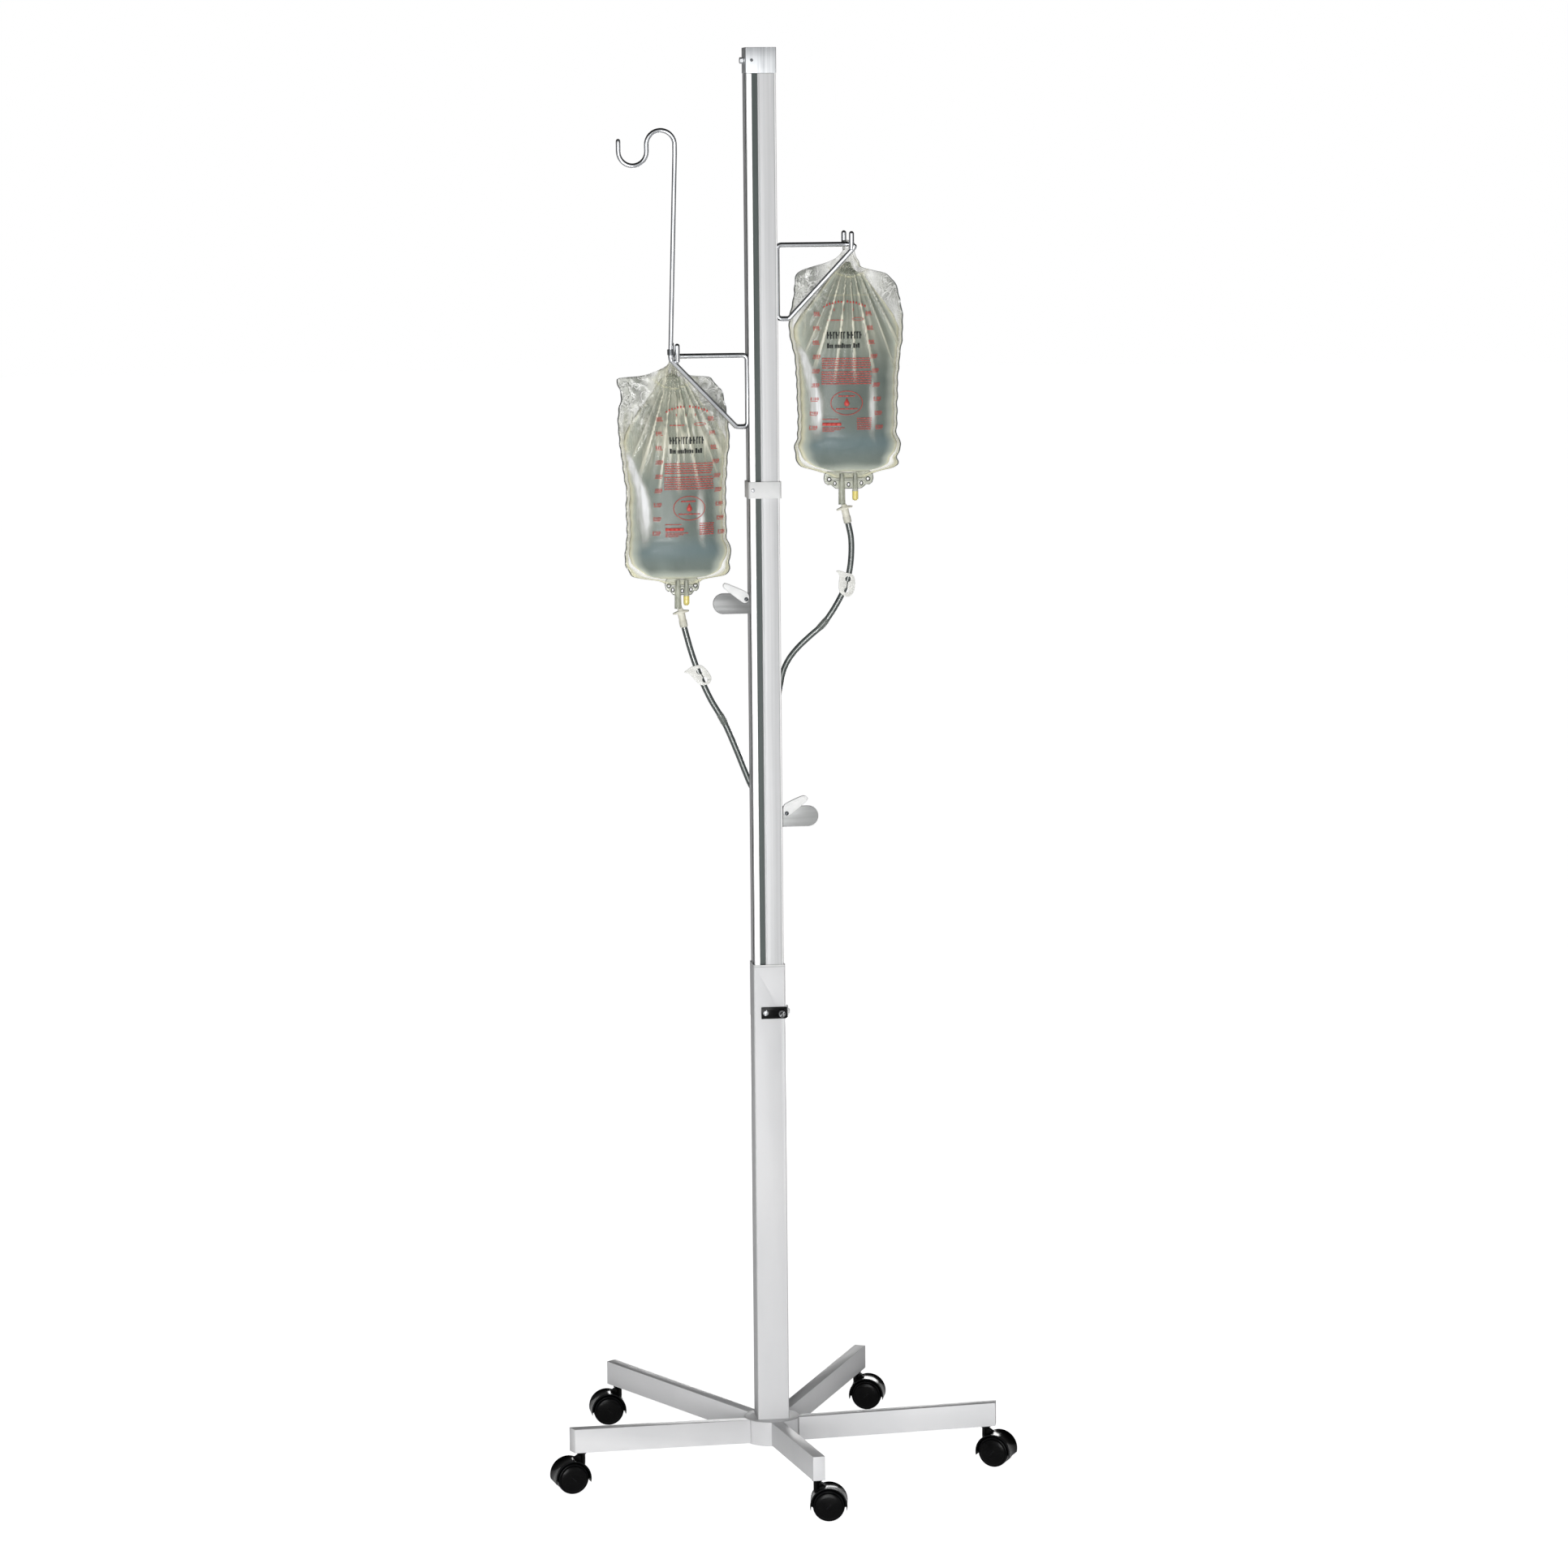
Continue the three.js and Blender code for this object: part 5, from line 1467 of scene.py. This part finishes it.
def paint_film(film, bag, points, us, zs):
    """Marks where the film is welded, folded, slack or milky, and where it gets painted shade in the pleat
    valleys, painted highlights down its sides and a painted dark outline at its rim.
    """
    xs = np.array([p[0] for p in points])
    wave, strength = bag.pleat(xs, zs)
    top, bottom = bag.z[-1], bag.z[0]
    off = xs - bag.neck[0]
    across = np.abs(us)
    edge = np.clip((across - 0.90) / 0.05, 0, 1)
    arc_weld = np.exp(-(((zs - (top - 45 + 12 * (off / 30) ** 2)) / 1.5) ** 2)) * (np.abs(off) < 36)
    line_weld = np.exp(-(((zs - (top - 74)) / 0.9) ** 2)) * (across < 0.95)
    corner = np.clip((across - 0.55) / 0.45, 0, 1) ** 2 * 32
    base_weld = np.clip((bottom + 15 + corner - zs) / 18, 0, 1)
    # Painted highlights: a band down each side of the lower part of the bag.
    down = np.clip((bottom + 225 - zs) / 100, 0, 1)
    left_centre = -0.93 + 0.27 * down
    left_band = np.exp(-(((us - left_centre) / (0.05 + 0.09 * down)) ** 2)) * np.clip(down * 4, 0, 1)
    right_band = np.exp(-(((us - 0.45) / 0.085) ** 2)) * np.clip((bottom + 180 - zs) / 60, 0, 1) * 0.8
    ends = np.clip((zs - (bottom + 52)) / 50, 0, 1)
    # A painted dark outline along the sides and the bottom edge.
    rim = np.maximum((across - 0.966) / 0.016, (bottom + 2.2 - zs) / 1.2)
    values = {
        "weld": edge * 0.7 + arc_weld + line_weld * 0.7 + base_weld * 0.9,
        "crease": np.clip((wave - 0.34) * 3.0, 0, 1) * np.sqrt(strength),
        "valley_shade": np.clip((-wave - 0.35) * 1.8, 0, 1) * strength,
        "slack": bag.looseness(xs, zs),
        "rim": rim,
        "milk": np.clip((zs - (top - MILK_DEPTH)) / 70, 0, 1) ** 1.5 * BAGS[bag.side]["milk"],
        "shine": (left_band + right_band) * ends * 1.25,
    }
    for name, value in values.items():
        set_values(film, name, np.clip(value, 0, 1))


def make_film(bag):
    columns = np.sin(np.linspace(-1, 1, 97) * math.pi / 2) * 0.35 + np.linspace(-1, 1, 97) * 0.65
    points, faces, us, zs = bag_grid(bag, columns, bag.z, lambda z: bag.row(z)[:2])
    film = add_object(f"bag_film_{bag.side}", points, faces, FILM, sharp=60)
    paint_film(film, bag, points, us, zs)
    dress([film], f"hanger_{bag.side}", f"bag_{bag.side}")


def make_water(bag):
    """Water that fills the bag, rounds off at its lower corners and narrows up into the pleats."""
    top, bottom = bag.z[-1], bag.z[0]
    rows = np.linspace(bottom + 11, top - 22, 110)

    def water_edges(z):
        left, right, _ = bag.row(z)
        middle, half = (left + right) / 2, (right - left) / 2
        narrow = 1
        if z >= top - PLEAT_DEPTH:
            narrow = max(0.10, 1 - ((z - (top - PLEAT_DEPTH)) / 106) ** 1.25 * 0.86)
        sunk = 1 - (z - rows[0]) / 50
        if sunk > 0:
            narrow = 0.48 + 0.52 * math.sqrt(1 - sunk**2.2)
        pull = (1 - narrow) if z > top - 200 else 0
        centre = middle * (1 - pull) + bag.neck[0] * pull
        reach = half * FLANGE * 0.965 * narrow
        return max(centre - reach, left + 3), min(centre + reach, right - 3)

    points, faces, us, zs = bag_grid(bag, np.linspace(-1, 1, 73), rows, water_edges, inset=1.1)
    water = add_object(f"bag_water_{bag.side}", points, faces, WATER, sharp=70)
    thin = np.clip((np.abs(us) - 0.62) / 0.38, 0, 1) ** 1.4
    thin = np.maximum(thin, np.clip((bottom + 34 - zs) / 26, 0, 1) ** 1.4)
    milk = 0.4 + BAGS[bag.side]["milk"] * 0.6
    set_values(water, "thin", thin)
    set_values(water, "low", np.exp(-(((zs - (bottom + 58)) / 20) ** 2)))
    set_values(water, "high", np.clip((zs - (top - MILK_DEPTH)) / 70, 0, 1) * milk)
    dress([water], f"hanger_{bag.side}")


# ------------------------------------------------------------------ print on the bags
class Ink:
    """Flat marks laid on the front of a bag, as thin closed slabs."""

    def __init__(self, bag, shift):
        self.bag, self.shift = bag, shift
        self.points, self.faces = [], []

    def lay(self, outline):
        """One convex mark from points in the right-hand bag's own layout."""
        pts = [(x + self.shift[0], z + self.shift[1]) for x, z in outline]
        start = len(self.points)
        count = len(pts)
        for lift in (0.15, 0.55):
            for x, z in pts:
                self.points.append((x, float(self.bag.surface(x, z, -1)) - lift, z))
        self.faces.append(tuple(range(start, start + count)))
        self.faces.append(tuple(range(start + count, start + 2 * count))[::-1])
        for k in range(count):
            a, b = start + k, start + (k + 1) % count
            self.faces.append((a, a + count, b + count, b))

    def bar(self, x, z, width, height, lean=0.0):
        """An upright or leaning bar in short lengths, so that it follows the film."""
        pieces = max(1, int(width / 6))
        for k in range(pieces):
            left, right = x + width * k / pieces, x + width * (k + 1) / pieces
            first, last = z + lean * (left - x), z + lean * (right - x)
            self.lay([(left, first), (right, last), (right, last + height), (left, first + height)])

    def words(self, x, z, width, height, draw, low=2.0, high=7.0):
        """A row of short dashes that stands in for a line of small print."""
        end = x + width
        while x < end - low:
            length = min(draw.uniform(low, high), end - x)
            self.bar(x, z, length, height)
            x += length + 1.0

    def ring(self, centre, radii, stroke, steps):
        wide, tall = radii
        outer = [(centre[0] + wide * x, centre[1] + tall * z) for x, z in circle(1, steps)]
        wide, tall = wide - stroke, tall - stroke
        inner = [(centre[0] + wide * x, centre[1] + tall * z) for x, z in circle(1, steps)]
        for k in range(steps):
            after = (k + 1) % steps
            self.lay([outer[k], outer[after], inner[after], inner[k]])

    def number(self, value, x, z, height):
        """Scale numbers in plain strokes on a seven-bar grid."""
        bars = {
            "0": "abcdef", "1": "bc", "2": "abged", "3": "abgcd", "4": "fgbc", "5": "afgcd",
            "6": "afgedc", "7": "abc", "8": "abcdefg", "9": "abcdfg",
        }
        wide, pen = height * 0.5, height * 0.17
        half = height / 2
        spots = {
            "a": (0, height - pen, wide, pen), "d": (0, 0, wide, pen), "g": (0, half - pen / 2, wide, pen),
            "f": (0, half, pen, half), "b": (wide - pen, half, pen, half),
            "e": (0, 0, pen, half), "c": (wide - pen, 0, pen, half),
        }
        for digit in str(value):
            for key in bars[digit]:
                dx, dz, w, h = spots[key]
                self.lay([
                    (x + dx, z + dz), (x + dx + w, z + dz), (x + dx + w, z + dz + h), (x + dx, z + dz + h),
                ])
            x += wide + pen * 1.6

    def done(self, name, material):
        obj = add_object(name, self.points, self.faces, material, 180)
        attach(obj, f"hanger_{self.bag.side}")
        return obj


SCALE_TOP, SCALE_STEP, SCALE_MARKS = 1846, 22.3, 9
SCALE_UNIT = 300  # what each mark adds to the printed number, a guess
MARK_HEIGHT, MARK_PEN = 4.2, 0.9
EMBLEM = (131, 1709)
# Left edge and width of each upright of the two lines of dark bars, and the height of their feet.
TITLE_FOOT, SUBTITLE_FOOT = 1809.5, 1795
TITLE = (
    (101.5, 3.6), (106.2, 3.4), (110.8, 3.2), (115.2, 3.6), (120, 1.5), (122.8, 3), (127.2, 3.2),
    (133, 4.8), (139, 3.8), (144, 3.2), (148.4, 3.2), (152.8, 3.4),
)
SUBTITLE = (
    (101.5, 3), (105.4, 2), (108.2, 2.4), (113.5, 1.4), (115.7, 2), (118.5, 2.4), (121.7, 2),
    (124.5, 2.8), (128, 1.6), (130.4, 1.4), (132.6, 2.6), (136.2, 2.4), (142.5, 3), (146.5, 2.6),
    (150, 2.8),
)


def print_scale(red):
    """Numbered marks down both sides."""
    for k in range(SCALE_MARKS):
        z = SCALE_TOP - k * SCALE_STEP
        for x in (82 - k * 1.1, 164 + k * 1.7):
            red.number(SCALE_UNIT * (k + 1), x, z + 1.4, MARK_HEIGHT)
            red.bar(x, z - 0.6, 10.5, MARK_PEN)


def print_heading(red, draw):
    """An arched row of dashes, three numbers, a line of dashes and a small ring."""
    radius, centre = 74, (131, 1792)
    for k in range(15):
        if k == 7:
            continue
        a = math.radians(116 - k * 3.7)
        x, z = centre[0] + radius * math.cos(a), centre[1] + radius * math.sin(a)
        red.bar(x - 1.2, z, 2.3, 3.4 if k % 3 else 2.2, lean=-0.12 * (k - 7) / 7)
    for value, x in enumerate((113, 128, 143)):
        red.number(value, x, 1853, 3.6)
    red.words(103, 1838, 24, 1.3, draw)
    red.ring((151, 1840), (9.5, 2.6), 0.8, 24)


def print_notes(red, draw):
    """Small print as dashes, a ring with a water drop, and a plain bar over more dashes."""
    for k in range(5):
        red.words(93, 1778 - k * 3.7, 77, 1.5, draw)
    for k in range(6):
        red.words(92, 1757 - k * 3.7, 79, 1.5, draw)
    red.ring(EMBLEM, (25.4, 19.2), 1.0, 56)
    red.words(118, 1719, 26, 1.8, draw, 3, 8)
    red.words(114, 1699, 34, 1.6, draw, 3, 8)
    red.lay(arc((131, 1708), 4.2, 150, 390, 13) + [(131, 1717)])
    red.words(93, 1683, 26, 1.2, draw, 2, 5)
    red.bar(93, 1673.5, 29, 4.6)
    for k in range(3):
        red.words(93, 1669.5 - k * 2.6, 36 - 8 * k, 1.2, draw, 2, 5)
    for k in range(6):
        red.words(147, 1684 - k * 3.4, 24, 1.4, draw, 2, 6)


def print_bag(side, bag):
    """Places are those of the right-hand bag; the left one's print is shifted to match."""
    shift = BAGS[side]["shift"]
    draw = random.Random(11 if side == "left" else 5)
    red, black = Ink(bag, shift), Ink(bag, shift)
    print_scale(red)
    print_heading(red, draw)
    print_notes(red, draw)
    for x, width in TITLE:
        black.bar(x, TITLE_FOOT, width * 0.55, 11)
        black.bar(x, TITLE_FOOT + (4.6 if width > 3.3 else 9), width, 2)
    for x, width in SUBTITLE:
        black.bar(x, SUBTITLE_FOOT, width, 7.5 if width > 2.7 else 5.4)
    red.done(f"bag_scale_print_{side}", RED_INK)
    black.done(f"bag_title_bars_{side}", BLACK_INK)


for side in SIDES:
    bag = Bag(side)
    make_film(bag)
    make_water(bag)
    print_bag(side, bag)


LOOP_INNER = 4.35  # just clear of the bar
LOOP_FRONT, LOOP_BACK = -8, 24
LOOP_DROP = 9.5


def neck_loop(side):
    """The gathered top of the film, folded over the bag bar."""
    arm = HANGERS[side]["arm"]
    span = np.linspace(LOOP_FRONT, LOOP_BACK, 17)
    middle = (LOOP_FRONT + LOOP_BACK) / 2
    rings = []
    steps = 22
    for k in range(steps + 1):
        a = math.pi * k / steps
        outer = 1.5 + 0.35 * math.sin(5 * a)
        if k in (0, steps):
            outer *= 0.9
        ring = [(LOOP_INNER, y) for y in span]
        ring += [(LOOP_INNER + outer + 0.35 * math.sin(y * 0.9 + 2 * a), y) for y in span[::-1]]
        rings.append(
            [(BAR_X * SIDES[side] + r * math.cos(a), y, arm + r * math.sin(a)) for r, y in ring]
        )
    ends = [
        [(x, middle + (y - middle) * 0.55, arm - LOOP_DROP) for x, y, _ in ring]
        for ring in (rings[0], rings[-1])
    ]
    loop = add_object(f"bag_neck_loop_{side}", *loft([ends[0], *rings, ends[1]]), FILM, 50)
    count = len(loop.data.vertices)
    set_values(loop, "weld", [0.35 + 0.3 * math.sin(i * 0.7) for i in range(count)])
    for name, value in (("crease", 0.2), ("slack", 0.6), ("milk", 0.5)):
        set_values(loop, name, [value] * count)
    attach(loop, f"hanger_{side}")


for side in SIDES:
    neck_loop(side)


# ------------------------------------------------------------------ ports and spikes
# Places in column millimetres; "spread" narrows the strip, and "spike" is its point and its socket.
PORTS = {
    "left": {
        "outlet": -136, "port": -122.5, "seam": 1427.5, "outlet_low": 1387, "port_low": 1392,
        "spread": 0.68, "spike": ((-134.4, 8, 1396), (-126.9, 8, 1358)),
    },
    "right": {
        "outlet": 127, "port": 148.5, "seam": 1591, "outlet_low": 1547, "port_low": 1553,
        "spread": 1.0, "spike": ((127.8, 8, 1556), (136.4, 8, 1518)),
    },
}
# Right half of the strip below the seam, about its middle.
STRIP_HALF = [
    (38.5, 4), (39.5, -3), (37.5, -9.5), (32.5, -13), (27.5, -12.6), (24.5, -15.2), (20.5, -18.4),
    (14, -19), (5, -18.6),
]
STRIP_THICK = 2.2
EYES = [(-31, -4), (31, -4)]
OVALS = [(-22, -10.5), (0, -12.5), (20.5, -10.5)]
# Half width and half height of the hole, its sides, and half width and half height of the dark ring of
# painted shade round it.
EYE = ((1.9, 1.9), 18, (3.1, 3.1))
OVAL = ((1.5, 2.4), 16, (2.1, 3.0))
TIP_LENGTH = 15.2  # the yellow cap of the injection port


def port_strip(side):
    """The scalloped flange with its holes, and dark rings of painted shade round each hole and along its
    edge.
    """
    p = PORTS[side]
    middle, seam, spread = (p["outlet"] + p["port"]) / 2, p["seam"], p["spread"]
    outline = STRIP_HALF + [(-x, z) for x, z in reversed(STRIP_HALF)] + [(-33, 9), (0, 6), (33, 9)]
    outline = [(x * spread, z) for x, z in outline]
    openings = [(x * spread, z, *EYE) for x, z in EYES] + [(x * spread, z, *OVAL) for x, z in OVALS]
    holes = [
        [(x + wide * c, z + tall * d) for c, d in arc((0, 0), 1, 0, 345, sides)]
        for x, z, (wide, tall), sides, _ in openings
    ]
    strip = slab(
        f"port_strip_{side}", outline, BAG_Y - STRIP_THICK / 2, BAG_Y + STRIP_THICK / 2, PORT,
        bevel=0.4, holes=holes, place=(middle, 0, seam),
    )
    made = [strip]
    # Dark rings of painted shade round the holes and along the edge.
    for k, (x, z, _, _, (wide, tall)) in enumerate(openings):
        rim = [(middle + x + wide * c, BAG_Y - 1.3, seam + z + tall * d) for c, d in circle(1, 24)]
        made.append(closed_ring(f"hole_shade_ring_{side}_{k}", rim, 0.75, OUTLINE_SHADE))
    shade_outline = [Vector((middle + x, BAG_Y - 1.0, seam + z)) for x, z in outline]
    shade_outline = [tuple(a.lerp(b, t)) for a, b in zip(shade_outline, shade_outline[1:] + shade_outline[:1]) for t in (0, 0.5)]
    made.append(closed_ring(f"port_strip_shade_outline_{side}", shade_outline, 0.55, OUTLINE_SHADE))
    return made


def port_tubes(side):
    """The hollow outlet with the membrane inside it, and the capped injection port."""
    p = PORTS[side]
    seam, low = p["seam"], p["outlet_low"]
    wall = [
        (0, seam + 5), (4.4, seam + 5), (4.7, seam - 6), (5.2, seam - 14), (5.6, low + 3), (5.5, low),
        (4.5, low), (4.2, low + 3), (3.6, seam - 12), (3.2, seam - 2), (0, seam - 2),
    ]
    core = [(0, low + 9), (2.5, low + 9), (2.7, seam - 10), (2.3, seam - 4), (0, seam - 4)]
    foot = (p["outlet"], BAG_Y, 0)
    outlet = lathe(f"outlet_port_{side}", wall, foot, (0, 0, 1), PORT, sides=28)
    membrane = lathe(f"outlet_membrane_{side}", core, foot, (0, 0, 1), DARK_CORE, sides=20)
    low = p["port_low"]
    stub = [
        (0, low), (2.4, low), (3.8, low + 0.8), (4.6, low + 2.2), (4.8, low + 4), (4.8, low + 14.6),
        (4.8, low + 15.4), (4.8, low + 17), (4.3, low + 18), (4.3, seam + 5), (0, seam + 5),
    ]
    injection = lathe(f"injection_port_{side}", stub, (p["port"], BAG_Y, 0), (0, 0, 1), PORT, sides=28)
    heights = np.array([from_row(v.co)[2] for v in injection.data.vertices])
    set_values(injection, "tip", np.clip((low + TIP_LENGTH - heights) * 4, 0, 1))
    return [outlet, membrane, injection]


def closed_ring(name, centres, radius, material):
    """A round wire bent into a closed loop that faces the front."""
    sides = 12
    count = len(centres)
    pts = np.array(centres)
    middle = pts.mean(0)
    points, faces = [], []
    for p in pts:
        out = (p - middle) / np.linalg.norm(p - middle)
        for j in range(sides):
            a = 2 * math.pi * j / sides
            points.append(tuple(p + radius * (math.cos(a) * out + math.sin(a) * np.array((0, 1.0, 0)))))
    for i in range(count):
        for j in range(sides):
            a, b = i * sides + j, i * sides + (j + 1) % sides
            c, d = ((i + 1) % count) * sides + j, ((i + 1) % count) * sides + (j + 1) % sides
            faces.append((a, b, d, c))
    return add_object(name, points, faces, material, 60)


# Radius and share of the length, from the point down to the socket.
SPIKE_PROFILE = (
    (0, 0), (3.2, 0), (3.3, 0.2), (4.2, 0.27), (5.0, 0.31), (12.5, 0.34), (13.2, 0.36),
    (13.2, 0.385), (12.4, 0.41), (5.6, 0.44), (5.9, 0.5), (5.7, 0.7), (5.9, 0.72), (6.3, 0.74),
    (6.3, 0.97), (6.0, 1), (0, 1),
)


def spike(side):
    """The bag spike: a point up the outlet, a winged finger flange and a tapered tube socket."""
    top, bottom = (Vector(p) for p in PORTS[side]["spike"])
    axis = bottom - top
    profile = [(r, axis.length * share) for r, share in SPIKE_PROFILE]

    def wings(local, r, h):
        if r < 7:
            return local
        return Vector((local.x, local.y * 0.46, local.z + abs(local.x) * 0.05))

    piece = lathe(f"spike_body_{side}", profile, top, axis, IVORY, sides=48, flatten=wings)
    dress([piece], f"hanger_{side}", f"bag_spike_{side}")


for side in SIDES:
    dress(port_strip(side) + port_tubes(side), f"hanger_{side}", f"bag_ports_{side}")
    spike(side)


# ------------------------------------------------------------------ hank tie
STRAP_CORNER = 9
STRAP_FRONT = 27  # depth of the strap's front face
STRAP_LOW, STRAP_HIGH = 936, 948


def hank_tie():
    """A strap round the hank, with an overlapped end, and the clip that holds it to the column."""
    low, high = (from_row(p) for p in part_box("hank_tie"))
    x0, x1, y0, y1 = low[0], high[0], STRAP_FRONT, high[1]
    corners = ((x1, y1, -1, -1, 0), (x0, y1, 1, -1, 90), (x0, y0, 1, 1, 180), (x1, y0, -1, 1, 270))
    loop = []
    for x, y, across, deep, start in corners:
        centre = (x + across * STRAP_CORNER, y + deep * STRAP_CORNER)
        loop += arc(centre, STRAP_CORNER, start, start + 90, 8)
    middle = ((x0 + x1) / 2, (y0 + y1) / 2)
    rings = []
    for z, grow in (
        (STRAP_LOW, -0.5), (STRAP_LOW + 0.4, 0), (STRAP_HIGH - 0.4, 0), (STRAP_HIGH, -0.5),
        (STRAP_HIGH, -1.1), (STRAP_LOW, -1.1),
    ):
        ring = []
        for x, y in loop:
            dx, dy = x - middle[0], y - middle[1]
            size = math.hypot(dx, dy)
            ring.append((x + dx / size * grow, y + dy / size * grow, z))
        rings.append(ring)
    points, faces = loft(rings)
    count = len(loop)
    last = 5 * count
    inside = [(last + k, last + (k + 1) % count, (k + 1) % count, k) for k in range(count)]
    strap = add_object("hank_strap", points, faces[:-2] + inside, STRAP, 40)
    low, high = (x1 - 0.2, 40, STRAP_LOW + 1), (x1 + 1.1, 66, STRAP_HIGH - 1)
    tab = box_piece("hank_strap_tab", low, high, 0.5, STRAP)
    low, high = (2, 23.8, STRAP_LOW - 2), (16, y0 + 0.9, STRAP_HIGH + 2)
    clip = box_piece("hank_clip", low, high, 1.0, BLACK)
    dress((strap, tab, clip), "mast", "hank_tie")


hank_tie()


# ------------------------------------------------------------------ floor, light and sky
# Each fade: the direction's axis, where it starts and ends along it, and the strength at both.
SKY_FADES = (("Z", 0.05, 0.60, 1.0, 0.05), ("Y", 0.1, -0.8, 0.11, 1.22), ("X", 0.35, 0.9, 1.0, 0.45))


def stage_floor():
    mesh = bpy.data.meshes.new("floor")
    work = bmesh.new()
    bmesh.ops.create_circle(work, cap_ends=True, segments=96, radius=40)
    work.to_mesh(mesh)
    work.free()
    floor = new_object("floor", mesh)
    floor.location = (0, 0, -0.0006)
    n = Surface("pale_floor")
    n.set(Base_Color="F4F4F4", Roughness=0.8)
    seen = n.add("ShaderNodeLightPath").outputs["Is Camera Ray"]
    n.set(Emission_Color=(1, 1, 1, 1), Emission_Strength=n.ramp(seen, 0.0, 1.0, 0.30, 0.95))
    mesh.materials.append(n.material)


def sky():
    """White to the eye. What it lends to surfaces is bright in front and dim above, behind and far
    to the right."""
    world = bpy.data.worlds.new("studio")
    bpy.context.scene.world = world
    world.use_nodes = True
    world.node_tree.nodes.clear()
    n = Nodes(world.node_tree)
    place = n.add("ShaderNodeTexCoord").outputs["Generated"]
    split = n.add("ShaderNodeSeparateXYZ", {"Vector": place}).outputs
    fades = [n.ramp(split["XYZ".index(axis)], *limits) for axis, *limits in SKY_FADES]
    lent = n.add("ShaderNodeBackground", {"Strength": n.times(n.times(fades[0], fades[1]), fades[2])})
    seen = n.add("ShaderNodeBackground", {"Color": (1, 1, 1, 1)})
    eye = n.add("ShaderNodeLightPath").outputs["Is Camera Ray"]
    mixer = n.add("ShaderNodeMixShader", {0: eye, 1: lent.outputs[0], 2: seen.outputs[0]})
    n.add("ShaderNodeOutputWorld", {0: mixer.outputs[0]})


def softbox(name, place, target, width, height, power):
    lamp = bpy.data.lights.new(name, "AREA")
    lamp.shape = "RECTANGLE"
    lamp.size, lamp.size_y = width, height
    lamp.energy = power
    obj = new_object(name, lamp)
    obj.location = place
    direction = Vector(target) - Vector(place)
    obj.rotation_mode = "QUATERNION"
    obj.rotation_quaternion = direction.to_track_quat("-Z", "Y")


# Place, target, width, height and power.
SOFTBOXES = {
    "key": ((-0.8, -4.0, 1.4), (0, 0, 1.2), 1.4, 2.4, 58),
    "fill": ((2.2, -3.3, 1.4), (0, 0, 1.3), 0.7, 2.2, 3),
    "low": ((-0.7, -3.8, 0.5), (0, 0, 0.2), 2.0, 0.8, 30),
    "rear": ((0.9, 4.0, 0.5), (0, 0, 1.4), 1.6, 1.0, 28),
}
stage_floor()
sky()
for name, box in SOFTBOXES.items():
    softbox(name, *box)
bpy.context.scene.view_settings.view_transform = "Standard"
